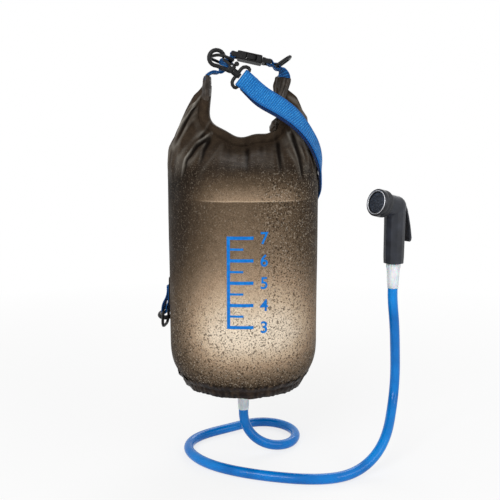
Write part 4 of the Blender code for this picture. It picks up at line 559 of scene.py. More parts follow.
def bag_finish():
    finish = Finish("wet_coated_nylon")
    height = Amount(add_node(finish.tree, "ShaderNodeSeparateXYZ", {"Vector": finish.on_surface()}), "Z")
    level = height + finish.cloud(40.0, 1.0).spread(0.0, 1.0, -0.0008, 0.0008)
    under_water = level.spread(WATER_Z + 0.0005, WATER_Z - 0.0005)
    # Painted backlight: its strength sets the colour, from the fabric's own dark brown where none is painted
    # to a warm light tan where most is.
    glows = {"Factor": under_water, "A": finish.noted("dry_glow"), "B": finish.noted("wet_glow")}
    glow = Amount(add_node(finish.tree, "ShaderNodeMix", glows), "Result")
    glow += finish.cloud(120.0, 5.0).spread(0.3, 0.7, -0.03, 0.03)
    finish.colour(glow.graded(
        (0.0, (25, 20, 16)), (0.14, (57, 47, 38)), (0.34, (100, 84, 67)), (0.50, (136, 116, 95)),
        (0.66, (174, 149, 123)), (0.82, (214, 190, 162)), (1.0, (250, 232, 208)),
    ))
    # Painted highlight: a thin bright line along the waterline, where the painted backlight is strong.
    from_line = (level + (-WATER_Z - 0.0005)).worked("ABSOLUTE")
    lit_part = finish.noted("dry_glow").spread(0.30, 0.60, 0.0, 0.5)
    finish.tint(from_line.spread(0.0002, 0.0012, 1.0, 0.0) * lit_part, (226, 200, 170))
    wetted = finish.noted("beads")
    dots = Amount(finish.cells(400.0), "Distance").spread(0.10, 0.52, 1.0, 0.0)
    drops = dots * finish.cloud(75.0, 3.0).spread(0.40, 0.60) * wetted
    # Painted shade and painted highlights of the water beads: dark specks, light specks, darker rims round
    # the larger drops and bright tops on them. The same drops also get real bumps and lower roughness.
    shade = finish.cloud(430.0, 1.0).spread(0.56, 0.62) * wetted
    finish.tint(shade * 0.72, (58, 46, 34), "MULTIPLY")
    light = finish.cloud(470.0, 1.0).spread(0.60, 0.67) * wetted
    finish.tint(light * 0.36, (222, 206, 184))
    big_cells = finish.cells(190.0)
    reach = Amount(big_cells, "Distance")
    chance = add_node(finish.tree, "ShaderNodeSeparateColor", {"Color": Amount(big_cells, "Color")})
    present = Amount(chance, "Red").spread(0.70, 0.74) * wetted
    round_drops = reach.spread(0.05, 0.26, 1.0, 0.0) * present
    rims = reach.spread(0.16, 0.23) * reach.spread(0.23, 0.30, 1.0, 0.0) * present
    finish.tint(rims * 0.7, (66, 52, 40), "MULTIPLY")
    finish.tint(round_drops * 0.5, (240, 226, 206))
    grain = finish.cloud(1100.0, 1.0).spread(0.36, 0.66)
    finish.tint(0.8, grain.graded((0.0, (188, 188, 188)), (1.0, (255, 255, 255))), "MULTIPLY")
    # Painted highlight on the fold crests, broken into streaks, and painted shade in the creases and between
    # the pleats.
    streaks = finish.cloud(34.0, 3.0).spread(0.32, 0.54, 0.25, 1.0)
    finish.tint(finish.noted("ridge") * streaks * 0.95, (158, 153, 144))
    finish.tint(finish.noted("hollow") * 0.92, (10, 7, 6))
    shine = finish.cloud(55.0, 4.0).spread(0.35, 0.65, 0.52, 0.66)
    finish.set("Roughness", shine + drops.worked("MAXIMUM", round_drops) * -0.36)
    finish.emboss(finish.cloud(900.0, 2.0), 0.00010, 0.6)
    finish.emboss(drops, 0.0007)
    finish.emboss(round_drops, 0.0009)
    finish.emboss(finish.cloud(150.0, 3.0), 0.0006, 0.35)
    finish.set("Specular IOR Level", 0.05)
    finish.set("Specular Tint", dye(226, 200, 168))
    return finish


def swell_arms(rise, angles):
    """Fills the arms out sideways, from nothing at the shoulder line."""
    amounts = np.where(
        rise[:, :, 0] < 0,
        -np.interp(rise[:, :, 2], *zip(*LEFT_SWELL)),
        np.interp(rise[:, :, 2], *zip(*RIGHT_SWELL)),
    )
    onset = eased(np.minimum(1.0, np.arange(RISE_ROWS) / RISE_ROWS / 0.16))
    rise[:, :, 0] += amounts * np.abs(np.cos(angles))[None, :] ** 3 * onset[:, None]


def fold_at(angle, x, y, z, climb):
    """Push of the gathered fabric, from the shoulder line up to the mouth, with the painted highlight on its
    folds' crests and lit lips and the painted shade in its creases.
    """
    start = min(1.0, climb / 0.35)
    tie = within((1 - climb) / 0.10)
    held = min(1.0, climb / 0.10) * (0.25 + 0.75 * tie)
    side = math.cos(angle) ** 2
    sharp = max(-0.6, 1 - abs(fold_noise(angle, z, 6.5, 24, 9)) * 3.6)
    fold = 0.0019 * fold_noise(angle, z, 2.3, 15, 4) + (0.0006 + 0.0015 * side) * sharp * 0.8
    fold += 0.0006 * fold_noise(angle, z, 15.0, 60, 13)
    crease, lip = crease_at(x, z) if y < 0 else crease_at(-x * 0.9, z + 0.004)
    push = fold * start * tie + held * (0.35 * lip * 0.0022 - crease) + wall_relief(angle, z) * (1 - start)
    # Painted highlight along the sharp folds on the sides and on the lit lips; painted shade in the creases.
    streak = max(0.0, sharp) * side * start * tie
    return push, min(1.0, 0.45 * streak + 0.95 * lip * held), min(1.0, held * crease / 0.0020)


def gather_at(angle, z):
    """Push of the full wall, whose foot is gathered into the weld, with no painted highlight and with painted
    shade between its pleats.
    """
    push = wall_relief(angle, z)
    gather = within((-0.412 - z) / 0.024)
    swirl = 2.2 * fold_noise(angle, z, 2.0, 6, 2)
    pleat = math.sin(34 * angle + swirl) + 0.6 * math.sin(61 * angle - 2 * swirl)
    return push + gather * (0.00035 * pleat - 0.0005), 0.0, gather * within(-pleat * 0.3)


def make_bag_skin():
    rows, angles = shell_rows()
    normals = outward_normals(rows)
    first_wall = LIP_ROWS + RISE_ROWS
    swell_arms(rows[LIP_ROWS:first_wall], angles)
    looks = np.zeros((*rows.shape[:2], 3))
    for row in range(len(rows)):
        climb = within(1 - (row - LIP_ROWS) / RISE_ROWS)
        for column, angle in enumerate(angles):
            x, y, z = rows[row, column]
            looks[row, column] = fold_at(angle, x, y, z, climb) if row < first_wall else gather_at(angle, z)
    points = np.concatenate(rows + normals * looks[:, :, :1])
    heights = points[:, 2]
    # The painted backlight is brightest in a middle band whose width follows the height, and fades to the
    # sides.
    stray = np.abs(points[:, 0] - GLOW_MIDDLE_X) / np.interp(heights, *zip(*GLOW_HALF_WIDTHS))
    middle = np.exp(-stray ** 4)
    dry_glow = np.interp(heights, *zip(*DRY_GLOW)) * middle
    low_third = np.clip((-0.300 - heights) / 0.05, 0, 1)
    right_side = np.clip((points[:, 0] - 0.010) / 0.03, 0, 1) * np.clip((-0.135 - heights) / 0.03, 0, 1)
    wetted = np.clip((-0.100 - heights) / 0.05, 0, 1)
    faces = grid_faces(len(rows), SHELL_COLUMNS)
    return make_piece(
        "bag_skin", points, faces, bag_finish(), "coated_fabric", "bag", "bag_body",
        wet_glow=np.interp(heights, *zip(*WET_GLOW)) * (middle * 0.86 + 0.14),
        dry_glow=np.maximum(dry_glow, ARM_TONE * np.clip((heights + 0.165) / 0.030, 0, 1)),
        ridge=looks[:, :, 1],
        hollow=looks[:, :, 2],
        beads=wetted * (0.3 + 0.7 * np.maximum(low_third, right_side)),
    )


bag_skin = make_bag_skin()


# Rolled mouth: the top of the tube rolled over a stiffening strip and drawn up at both ends.
# The turns of the roll show as soft ridges along it, lighter by a painted highlight, and it puckers where the
# arms bend.
ROLL_COLUMNS = 40
ROLL_ROWS = 190
PUCKER_PLACE = Vector((0.0435, -0.0065, -0.0870))
PUCKER_SIZE = Vector((0.0062, 0.0105, 0.0105))
PUCKER_TILT = math.radians(24)
PUCKER_RINGS = 22
PUCKER_COLUMNS = 36
RIGHT_TWIST = math.radians(45)

rolled_nylon = plain_finish(
    "rolled_coated_nylon", (90.0, 5.0), ((0.28, (28, 23, 18)), (0.5, (46, 38, 31)), (0.72, (68, 58, 48))),
    (0.3, 0.5, 120.0, 3.0), [(0.0001, 0.5, 900.0, 2.0), (0.0008, 0.45, 190.0, 4.0)], 0.2,
    shine_range=(0.35, 0.65),
)
# Painted highlight on the raised turns and folds.
rolled_nylon.tint(rolled_nylon.noted("ridge") * 0.30, (118, 112, 104))


def make_rolled_mouth():
    line = roll_middle(ROLL_ROWS)
    ways = directions_along(line)
    points = []
    ridge = []
    for row in range(ROLL_ROWS):
        travel = row / (ROLL_ROWS - 1)
        end = min(1.0, min(travel, 1 - travel) / 0.018)
        closing = math.sqrt(max(0.0, 1 - (1 - end) ** 2)) * 0.45 + 0.55
        turned = RIGHT_TWIST * eased(within((travel - 0.84) / 0.13))
        direction = Vector(ways[row])
        beside = Matrix.Rotation(turned, 3, direction) @ Vector((0.0, 1.0, 0.0))
        outward = beside.cross(direction)
        half_thick = ROLL_THICKNESS * float(roll_share(np.array(travel))) / 2 * closing
        half_wide = ROLL_WIDTH / 2 * (0.88 + 0.12 * closing)
        for column in range(ROLL_COLUMNS):
            turn = 2 * math.pi * column / ROLL_COLUMNS
            wide = signed_power(math.cos(turn), 0.62)
            thick = signed_power(math.sin(turn), 0.72)
            layer = math.cos(3.5 * math.pi * wide) * 0.0006
            twist = noise.noise(Vector((wide * 2.2, thick * 1.6, travel * 26)))
            fine = noise.noise(Vector((wide * 6, thick * 5, travel * 75 + 8)))
            push = (0.0011 * twist + 0.0004 * fine) * closing
            offset = (half_thick + push) * thick + layer * closing
            reach = (half_wide + 0.0008 * twist) * wide
            points.append(Vector(line[row]) + outward * offset + beside * reach)
            # How far the turn stands out, which sets its painted highlight.
            ridge.append(within((layer + push) / 0.0010))
    faces = grid_faces(ROLL_ROWS, ROLL_COLUMNS, capped=True)
    return make_piece(
        "rolled_mouth", points, faces, rolled_nylon, "coated_fabric", "bag", "closure_roll", ridge=ridge,
    )


def ball_ways(rings, around):
    """Directions from the middle of a ball to its points, ring by ring from pole to pole."""
    for ring in range(rings):
        polar = math.pi * (ring + 0.5) / rings
        for step in range(around):
            x, z, y = round_at(math.sin(polar), 2 * math.pi * step / around, math.cos(polar))
            yield Vector((x, y, z))


def make_pucker():
    """The knuckle where the roll's layers are pushed together in the right-hand bend."""
    shape = Matrix.Rotation(PUCKER_TILT, 3, "Y") @ Matrix.Diagonal(PUCKER_SIZE)
    points = []
    ridge = []
    for way in ball_ways(PUCKER_RINGS, PUCKER_COLUMNS):
        fold = math.cos(3.0 * math.atan2(way.z, way.x) + 5 * way.y) * 0.09
        fold += 0.16 * noise.noise(way * 2.4 + Vector((5, 1, 2)))
        points.append(PUCKER_PLACE + shape @ (way * (1 + fold)))
        # Raised folds of the knuckle get the painted highlight.
        ridge.append(within(fold * 6))
    faces = grid_faces(PUCKER_RINGS, PUCKER_COLUMNS, capped=True)
    return make_piece("roll_pucker", points, faces, rolled_nylon, "coated_fabric", ridge=ridge)


rolled_mouth = make_rolled_mouth()
roll_pucker = make_pucker()


# Hem and base: the tube's foot is heat-welded to a round base panel. The weld puckers into an
# uneven dark hem, and the panel bellies down a little round the outlet's locknut.
HEM_TOP_SHARE = 0.70
HEM_FOOT_Z = -0.4494
HEM_STEPS = 60
HEM_COLUMNS = 420
PANEL_COLUMNS = 160
PANEL_SHARES = (
    (0.094, 1.0), (0.16, 1.0), (0.26, 1.0), (0.36, 1.0), (0.46, 0.93), (0.56, 0.84), (0.66, 0.73),
    (0.76, 0.60), (0.84, 0.43), (0.91, 0.26), (0.965, 0.11), (0.986, 0.04),
)

welded_nylon = plain_finish(
    "welded_hem", (150.0, 5.0), ((0.3, (19, 15, 14)), (0.52, (36, 30, 28)), (0.74, (62, 53, 47))),
    (0.34, 0.55, 260.0, 3.0), [(0.0004, 0.6, 420.0, 4.0), (0.0001, 0.5, 1100.0, 1.0)], 0.08,
)
# Painted highlight on the pleat crests of the hem and the base.
welded_nylon.tint(welded_nylon.noted("ridge") * 0.45, (124, 102, 78))
welded_nylon.set("Specular Tint", dye(226, 204, 176))


def make_hem():
    radii, heights = foot_profile(HEM_STEPS)
    first = int(HEM_TOP_SHARE * (HEM_STEPS - 1))
    outside = [(radii[index] + 0.0005, heights[index]) for index in range(first, HEM_STEPS, 3)]
    outside[0] = (radii[first] - 0.0001, heights[first])
    outside += [
        (RIM_RADIUS + 0.0006, RIM_Z - 0.0008), (RIM_RADIUS + 0.0001, RIM_Z - 0.0030),
        (RIM_RADIUS - 0.0014, RIM_Z - 0.0055), (RIM_RADIUS - 0.0038, HEM_FOOT_Z),
    ]
    inside = [(RIM_RADIUS - 0.0050, HEM_FOOT_Z + 0.0008), (RIM_RADIUS - 0.0046, RIM_Z - 0.0030)]
    top = outside[0][1]
    points = []
    ridge = []
    for index, (radius, height) in enumerate(outside + inside):
        down = within((top - height) / (top - HEM_FOOT_Z))
        for column in range(HEM_COLUMNS):
            angle = 2 * math.pi * column / HEM_COLUMNS
            slow = fold_noise(angle, 0.0, 5.5, 0, 3)
            quick = fold_noise(angle, height, 17.0, 40, 6)
            ragged = fold_noise(angle, 0.0, 24.0, 0, 8)
            pleat = math.sin(58 * angle + 5 * slow) * 0.5 + quick
            swing = (0.0003 + 0.0009 * down) * pleat * (0.4 if index >= len(outside) else 1.0)
            sag = (0.0014 * slow + 0.0012 * quick) * down ** 2
            edge = 0.0030 * (slow + ragged) * (1 - down) ** 2
            points.append(round_at(radius + swing * 0.8, angle, height + sag + edge))
            # Pleat crests get the painted highlight, fuller in ragged flecks along the hem's top edge.
            fleck = 1.0 if index <= 1 and ragged > 0.05 else 0.25
            ridge.append(within(pleat * 1.1) * fleck)
    faces = grid_faces(len(outside + inside), HEM_COLUMNS)
    return make_piece(
        "welded_hem", points, faces, welded_nylon, "skirt_fabric", "bag", "base_skirt", ridge=ridge,
    )


def make_base():
    points = []
    ridge = []
    for drop, shares in ((0.0012, PANEL_SHARES), (0.0006, reversed(PANEL_SHARES))):
        for wide, deep in shares:
            outer = max(0.0, (wide - 0.35) / 0.65)
            for column in range(PANEL_COLUMNS):
                angle = 2 * math.pi * column / PANEL_COLUMNS
                pleat = math.sin(26 * angle + 3 * fold_noise(angle, wide, 2.0, 2, 5))
                height = RIM_Z + (BASE_Z - RIM_Z) * deep - drop + 0.0005 * pleat * outer
                points.append(round_at(RIM_RADIUS * wide, angle, height))
                # Crests of the outer pleats get the painted highlight.
                ridge.append(max(0.0, -pleat) * outer * 0.6)
    faces = grid_faces(2 * len(PANEL_SHARES), PANEL_COLUMNS, joined=True)
    return make_piece(
        "base_disc", points, faces, welded_nylon, "skirt_fabric", "bag", "base_panel", ridge=ridge,
    )


welded_hem = make_hem()
base_disc = make_base()


# Litre scale: plain level marks screen-printed in blue on the front, one for each litre and a
# shorter one for each half, with plain numbers beside the litre marks.
LITRE_FIRST_Z = -0.3465
LITRE_STEP = 0.0289
LITRE_NUMERALS = "34567"
SCALE_LINE_X = -0.016
LONG_MARK = 0.030
SHORT_MARK = 0.017
LONG_STROKE = 0.0042
SHORT_STROKE = 0.0028
NUMERAL_SIZE = 0.0215
NUMERAL_X = 0.028
NUMERAL_WEIGHT = 0.00036
INK_LIFT = 0.00028
INK_GRID = 0.0015
INK_LONGEST_EDGE = 0.0024

blue_ink = plain_finish(
    "blue_ink", (260.0, 5.0), ((0.3, (0, 100, 182)), (0.55, (0, 116, 203)), (0.75, (12, 134, 216))),
    (0.3, 0.5, 500.0, 3.0), [(0.00015, 0.5, 700.0, 2.0)], 0.2,
)


def on_side(angle, lift, height):
    """A place on the bag's straight side, lifted off its cylinder."""
    return Vector(round_at(BAG_RADIUS + lift, angle, height))


def add_bar(flat, x_left, x_right, z_low, z_high):
    """A printed bar as a fine flat grid, so that it can bend round the bag."""
    across = max(2, int((x_right - x_left) / INK_GRID))
    up = max(2, int((z_high - z_low) / INK_GRID))
    corners = [
        flat.verts.new((
            x_left + (x_right - x_left) * column / across, z_low + (z_high - z_low) * row / up, 0.0,
        ))
        for row in range(up + 1)
        for column in range(across + 1)
    ]
    for low_left, top_left, top_right, low_right in grid_faces(up + 1, across + 1, closed=False):
        flat.faces.new([corners[index] for index in (low_left, low_right, top_right, top_left)])


def add_numeral(flat, numeral, height):
    """A printed numeral, its middle at NUMERAL_X."""
    words = bpy.data.curves.new("numeral", "FONT")
    words.body = numeral
    words.size = NUMERAL_SIZE
    words.align_x = "CENTER"
    words.offset = NUMERAL_WEIGHT
    carrier = add_object("numeral", words)
    bpy.context.view_layer.update()
    outline = bpy.data.meshes.new_from_object(carrier.evaluated_get(bpy.context.evaluated_depsgraph_get()))
    bpy.data.objects.remove(carrier)
    outline.transform(Matrix.Translation((NUMERAL_X, height, 0.0)))
    flat.from_mesh(outline)
    bpy.data.meshes.remove(outline)


def make_litre_scale():
    flat = bmesh.new()
    last = len(LITRE_NUMERALS) - 1
    for half_step in range(2 * last + 1):
        height = LITRE_FIRST_Z + LITRE_STEP * half_step / 2
        reach, stroke = (SHORT_MARK, SHORT_STROKE) if half_step % 2 else (LONG_MARK, LONG_STROKE)
        add_bar(flat, SCALE_LINE_X, SCALE_LINE_X + reach, height - stroke / 2, height + stroke / 2)
    foot = LITRE_FIRST_Z - LONG_STROKE / 2
    add_bar(flat, SCALE_LINE_X - LONG_STROKE, SCALE_LINE_X, foot, foot + LITRE_STEP * last + LONG_STROKE)
    for index, numeral in enumerate(LITRE_NUMERALS):
        add_numeral(flat, numeral, LITRE_FIRST_Z + LITRE_STEP * index - NUMERAL_SIZE * 0.35)
    bmesh.ops.triangulate(flat, faces=[face for face in flat.faces if len(face.verts) > 4])
    for sweep in range(3):
        long_edges = [edge for edge in flat.edges if edge.calc_length() > INK_LONGEST_EDGE]
        if long_edges:
            bmesh.ops.subdivide_edges(flat, edges=long_edges, cuts=1)
            bmesh.ops.triangulate(flat, faces=[face for face in flat.faces if len(face.verts) > 4])
    flat.verts.index_update()
    points = []
    for vertex in flat.verts:
        angle = -math.pi / 2 + vertex.co.x / BAG_RADIUS
        points.append(on_side(angle, wall_relief(angle, vertex.co.y) + INK_LIFT, vertex.co.y))
    faces = [[vertex.index for vertex in face.verts] for face in flat.faces]
    flat.free()
    return make_piece("litre_scale", points, faces, blue_ink, "blue_hose")


litre_scale = make_litre_scale()


# Outlet: a moulded spigot comes through the base, clamped by a washer inside and a ribbed
# locknut outside. The tapered white nut below it grips the hose on its barb and can turn.
NUT_LENGTH = 0.0352
NUT_TOP_RADIUS = 0.0102
NUT_FOOT_RADIUS = 0.0078
NUT_BORE_RADIUS = 0.0062
NUT_COLLAR = 0.0060
NUT_TAPER_SHARES = (0.1, 0.3, 0.5, 0.7, 0.88)
OUTLET_NUT_PLACE = (0.0, 0.0, -0.4603)
HANDSET_NUT_PLACE = (0.211, -0.012, -0.2776)
NUT_COLUMNS = 96
NUT_FLUTES = 16
FLUTE_DEPTH = 0.00032


def milky_finish(name):
    finish = plain_finish(
        name, (70.0, 3.0), ((0.3, (196, 204, 212)), (0.55, (222, 227, 232)), (0.75, (240, 242, 244))),
        (0.22, 0.4, 240.0, 4.0), [(0.0001, 0.35, 600.0, 2.0)],
    )
    finish.set("Subsurface Weight", 0.35)
    finish.set("Subsurface Scale", 0.004)
    finish.set("Coat Weight", 0.25)
    finish.set("Coat Roughness", 0.15)
    return finish


def rubber_finish(name):
    return plain_finish(
        name, (300.0, 4.0), ((0.3, (24, 24, 24)), (0.7, (46, 45, 44))),
        (0.6, 0.82, 700.0, 2.0), [(0.0001, 0.5, 900.0, 2.0)],
    )


def metal_finish(name):
    return plain_finish(
        name, (400.0, 3.0, (1.0, 1.0, 4.0)), ((0.3, (190, 192, 197)), (0.7, (232, 233, 236))),
        (0.12, 0.3, 900.0, 3.0), [(0.00004, 0.5, 1500.0, 2.0, (1.0, 1.0, 6.0))], metallic=1.0,
    )


def turned_piece(
    name, profile, finish, slot_name, matrix, body="bag", node_name=None, columns=120, wave=None,
):
    """A piece turned from a closed profile of radius and height; marked rows have its waves."""
    points = []
    for radius, height, *waved in profile:
        for column in range(columns):
            angle = 2 * math.pi * column / columns
            points.append(matrix @ Vector(round_at(radius + (wave(angle) if waved else 0.0), angle, height)))
    faces = grid_faces(len(profile), columns, joined=True)
    return make_piece(name, points, faces, finish, slot_name, body, node_name)


def nut_flute(angle):
    return FLUTE_DEPTH * (math.cos(NUT_FLUTES * angle) - 1)


def make_tapered_nut(name, place, node_name, body):
    """A tapered nut with a fluted collar, a bead at its foot and its bore."""
    neck = NUT_TOP_RADIUS - 0.0008
    foot = NUT_FOOT_RADIUS - 0.0002
    taper = [
        (neck + (foot - neck) * share, -NUT_COLLAR - (NUT_LENGTH - NUT_COLLAR) * share)
        for share in NUT_TAPER_SHARES
    ]
    profile = [
        (NUT_BORE_RADIUS, -NUT_COLLAR), (NUT_BORE_RADIUS + 0.0012, -0.0004), (0.0090, 0.0),
        (NUT_TOP_RADIUS - 0.0004, 0.0), (NUT_TOP_RADIUS, -0.0005, 1), (NUT_TOP_RADIUS, -0.0018, 1),
        (NUT_TOP_RADIUS, -NUT_COLLAR + 0.0012, 1), (NUT_TOP_RADIUS - 0.0003, -NUT_COLLAR, 1),
        (neck, -NUT_COLLAR - 0.0006), *taper,
        (foot, -NUT_LENGTH + 0.0024), (NUT_FOOT_RADIUS, -NUT_LENGTH + 0.0018),
        (NUT_FOOT_RADIUS, -NUT_LENGTH + 0.0006), (NUT_FOOT_RADIUS - 0.0003, -NUT_LENGTH),
        (NUT_BORE_RADIUS + 0.0004, -NUT_LENGTH), (NUT_BORE_RADIUS, -NUT_LENGTH + 0.0006),
        (NUT_BORE_RADIUS, -NUT_LENGTH / 2),
    ]
    return turned_piece(
        name, profile, milky_finish(name + "_plastic"), "clear_white_plastic", Matrix.Translation(place),
        body, node_name, NUT_COLUMNS, nut_flute,
    )


def mould(node_name, finish, grain=0.0004, passes=6, fuller=0.0):
    """Gives a moulded or cast piece its rounded edges, fine skin and finish."""
    piece = nodes[node_name]
    skin = piece.modifiers.new("fine_skin", "REMESH")
    skin.mode = "VOXEL"
    skin.voxel_size = grain
    skin.use_smooth_shade = True
    rounding = piece.modifiers.new("rounded_edges", "SMOOTH")
    rounding.factor = 0.5
    rounding.iterations = passes
    if fuller:
        swell = piece.modifiers.new("full_section", "DISPLACE")
        swell.mid_level = 0.0
        swell.strength = fuller
    piece.data.materials.clear()
    piece.data.materials.append(finish.material)


outlet_nut = make_tapered_nut("outlet_hose_nut", OUTLET_NUT_PLACE, "bag_hose_nut", "outlet_nut")
mould("outlet_locknut", milky_finish("locknut_plastic"), 0.0005, 4)
mould("outlet_spigot", milky_finish("spigot_plastic"), 0.0004, 4)
mould("outlet_washer", rubber_finish("washer_rubber"), 0.0004, 3)
mould("outlet_screen", metal_finish("screen_steel"), 0.0002, 1)


# Hardware: swivel snap hooks, D-rings, the side-release buckle and the strap slider are moulded
# in black acetal. Their edges are rounded by the mould and paler in patches.
UPPER_PLACE = Vector((-0.0093, -0.016, -0.0182))
UPPER_ALONG = Vector((-0.78801, 0.0, 0.61566))
UPPER_ACROSS = Vector((0.0, -1.0, 0.0))
LOWER_PLACE = Vector((-0.095335, 0.058217, -0.352261))
LOWER_ALONG = Vector((-0.57744, -0.77019, -0.27087))
LOWER_ACROSS = Vector((-0.07948, -0.27717, 0.95753))
PAD_PLACE = Vector((0.0068, 0.0, 0.0104))
PAD_SIZE = (0.0034, 0.0020, 0.0031)
PAD_RINGS = 26
PAD_COLUMNS = 40


def black_acetal(name, glossiest=0.26, dullest=0.44):
    finish = plain_finish(
        name, (260.0, 4.0), ((0.3, (11, 11, 12)), (0.55, (20, 20, 21)), (0.75, (36, 35, 34))),
        (glossiest, dullest, 420.0, 4.0), [(0.00006, 0.6, 2200.0, 2.0)], 0.2,
    )
    finish.wear(0.60, 0.55, 500.0, (112, 108, 102))
    return finish


hook_acetal = black_acetal("hook_acetal")
ring_acetal = black_acetal("ring_acetal")
buckle_acetal = black_acetal("buckle_acetal", 0.52, 0.68)
for side_name, fuller in (("upper", 0.00018), ("lower", 0.0006)):
    mould(side_name + "_hook_body", hook_acetal, 0.00032, 6, fuller)
    mould(side_name + "_hook_gate", hook_acetal, 0.00026, 4)
    mould(side_name + "_swivel_eye", hook_acetal, 0.00032, 6, 0.00030)
    mould(side_name + "_hook_pin", metal_finish(side_name + "_pin_steel"), 0.00022, 2)
for ring_name in ("left_d_ring", "right_d_ring", "side_d_ring"):
    mould(ring_name, ring_acetal, 0.00034, 8)
for buckle_name in (
    "buckle_female", "buckle_male", "buckle_prong_front", "buckle_prong_rear", "strap_slider",
):
    mould(buckle_name, buckle_acetal, 0.00034, 4)


def make_thumb_pad(name, along, across, place, body):
    """The grip moulded round a gate's knob: a rounded button with fine ribs, in its hook's frame."""
    hook_turn = Matrix((along, across, along.cross(across))).transposed()
    points = []
    for way in ball_ways(PAD_RINGS, PAD_COLUMNS):
        rib = 1 + 0.05 * math.cos(way.x * 17) * max(0.0, way.z)
        points.append(place + hook_turn @ (PAD_PLACE + Matrix.Diagonal(PAD_SIZE) @ way * rib))
    faces = grid_faces(PAD_RINGS, PAD_COLUMNS, capped=True)
    return make_piece(name, points, faces, hook_acetal, "black_plastic", body)


upper_pad = make_thumb_pad("upper_thumb_pad", UPPER_ALONG, UPPER_ACROSS, UPPER_PLACE, "upper_gate")
lower_pad = make_thumb_pad("lower_thumb_pad", LOWER_ALONG, LOWER_ACROSS, LOWER_PLACE, "lower_gate")


# Top webbing: 25 mm blue polypropylene, folded round the buckle's bar and sewn double. It holds
# the D-ring's bar between its two layers and is sewn into the end of the rolled mouth.
WEBBING_WIDTH = 0.025
LAYER = 0.0016
HALF_GAP = LAYER / 2 + 0.0001
RIB_PITCH = 3.1
BUCKLE_TILT = math.radians(12)
BUCKLE_MIDDLE = 0.0055
FEMALE_BAR_U = -0.0145
MALE_BAR_U = 0.0355
WEB_BAR_RADIUS = 0.002
RING_ROD_RADIUS = 0.00225
LEFT_RING_PLACE = Vector((-0.0220, 0.0, -0.0005))
LEFT_RING_AXIS = Vector((-0.60181, 0.79864, 0.0))
RIGHT_RING_PLACE = Vector((0.0455, 0.0, -0.0075))
TUCK_DEPTH = 0.0115
TIP_OVERLAP = 0.0036
DEPTH_WAY = Vector((0.0, 1.0, 0.0))
HALF_SECTION = (
    (-1.0, 0.0), (-0.985, 0.62), (-0.94, 1.0), (-0.6, 1.0), (-0.2, 1.0), (0.2, 1.0), (0.6, 1.0),
    (0.94, 1.0), (0.985, 0.62),
)
BAND_SECTION = HALF_SECTION + tuple((-wide, -thick) for wide, thick in HALF_SECTION)
THREAD_RADIUS = 0.00026
STITCH_PITCH = 0.0027
STITCH_SIDES = 6
STITCH_SHAPE = ((0.0, -0.3, 0.5), (0.2, 0.6, 1.0), (0.5, 0.9, 1.1), (0.8, 0.6, 1.0), (1.0, -0.3, 0.5))


def webbing_finish(name, dark, middle, light):
    finish = Finish(name)
    weave = Amount(add_node(finish.tree, "ShaderNodeUVMap", uv_map="weave"), "UV")
    threads = add_node(finish.tree, "ShaderNodeTexBrick", {
        "Vector": weave, "Scale": 1.0, "Brick Width": 1.6, "Row Height": 0.9, "Mortar Size": 0.16,
        "Mortar Smooth": 1.0, "Color1": dye(*middle), "Color2": dye(*light), "Mortar": dye(*dark),
    }, offset=0.5)
    finish.colour(Amount(threads, "Color"))
    split = add_node(finish.tree, "ShaderNodeSeparateXYZ", {"Vector": weave})
    ribs = (Amount(split, "X") * (2 * math.pi / RIB_PITCH)).worked("SINE").spread(-0.5, 0.4)
    edge = Amount(split, "Y").worked("ABSOLUTE")
    finish.tint(finish.cloud(90.0, 4.0).spread(0.35, 0.68, 0.0, 0.3), dark)
    # Painted shade in the grooves between the ribs, over their real relief.
    finish.tint(ribs.spread(0.0, 1.0, 0.72, 0.0), dark)
    # Painted shade along both edges of the band.
    finish.tint(edge.spread(9.6, 11.2, 0.0, 0.55), dark)
    finish.emboss(ribs, 0.0005, 0.9)
    finish.emboss(Amount(threads, "Fac").spread(0.0, 1.0, 1.0, 0.0), 0.0003, 0.7)
    finish.emboss(finish.cloud(1800.0, 2.0), 0.0001, 0.4)
    finish.set("Roughness", 0.72)
    finish.set("Sheen Weight", 0.06)
    finish.set("Sheen Roughness", 0.5)
    finish.set("Specular IOR Level", 0.18)
    return finish


def thread_finish(name, colour, dark):
    finish = Finish(name)
    finish.colour(finish.cloud(900.0, 2.0).graded((0.35, dark), (0.65, colour)))
    finish.emboss(finish.cloud(3000.0, 1.0), 0.0001, 0.5)
    finish.set("Roughness", 0.6)
    finish.set("Sheen Weight", 0.2)
    return finish


def make_band(name, stations, widths, finish, node_name=None, spacing=0.0011):
    """A woven band along stations, each with its place, its direction across and its width."""
    centres = np.array([tuple(place) for place, way in stations])
    across = np.array([tuple(way) for place, way in stations])
    travel = travel_along(centres)
    count = max(12, int(travel[-1] / spacing))
    line = smooth_line(centres, count)
    marks = np.linspace(0, travel[-1], count)
    width = np.interp(marks, travel, widths)
    ways = directions_along(line)
    side = at_marks(marks, travel, across)
    side = side - ways * (side * ways).sum(axis=1)[:, None]
    side = side / np.linalg.norm(side, axis=1)[:, None]
    face = np.cross(ways, side)
    points = [
        line[row] + side[row] * (width[row] / 2 * wide) + face[row] * (LAYER / 2 * thick)
        for row in range(count)
        for wide, thick in BAND_SECTION
    ]
    columns = len(BAND_SECTION)
    faces = grid_faces(count, columns, capped=True)
    band = make_piece(name, points, faces, finish, "blue_webbing", "bag", node_name)
    weave = band.data.uv_layers.new(name="weave")
    for corner in band.data.loops:
        row, column = divmod(corner.vertex_index, columns)
        weave.data[corner.index].uv = (marks[row] * 1000, BAND_SECTION[column][0] * width[row] / 2 * 1000)
    return band, line, side, face


def face_of(way, across):
    """The direction that a band's face looks in, from its way along and its way across."""
    return way.cross((across - way * across.dot(way)).normalized()).normalized()


def stations_round(bar_place, way, face, radius, steps=9):
    """Places on a half circle round a bar, from one face of the band to the other."""
    turns = [math.pi * step / steps for step in range(steps + 1)]
    return [bar_place - way * (radius * math.sin(turn)) + face * (radius * math.cos(turn)) for turn in turns]


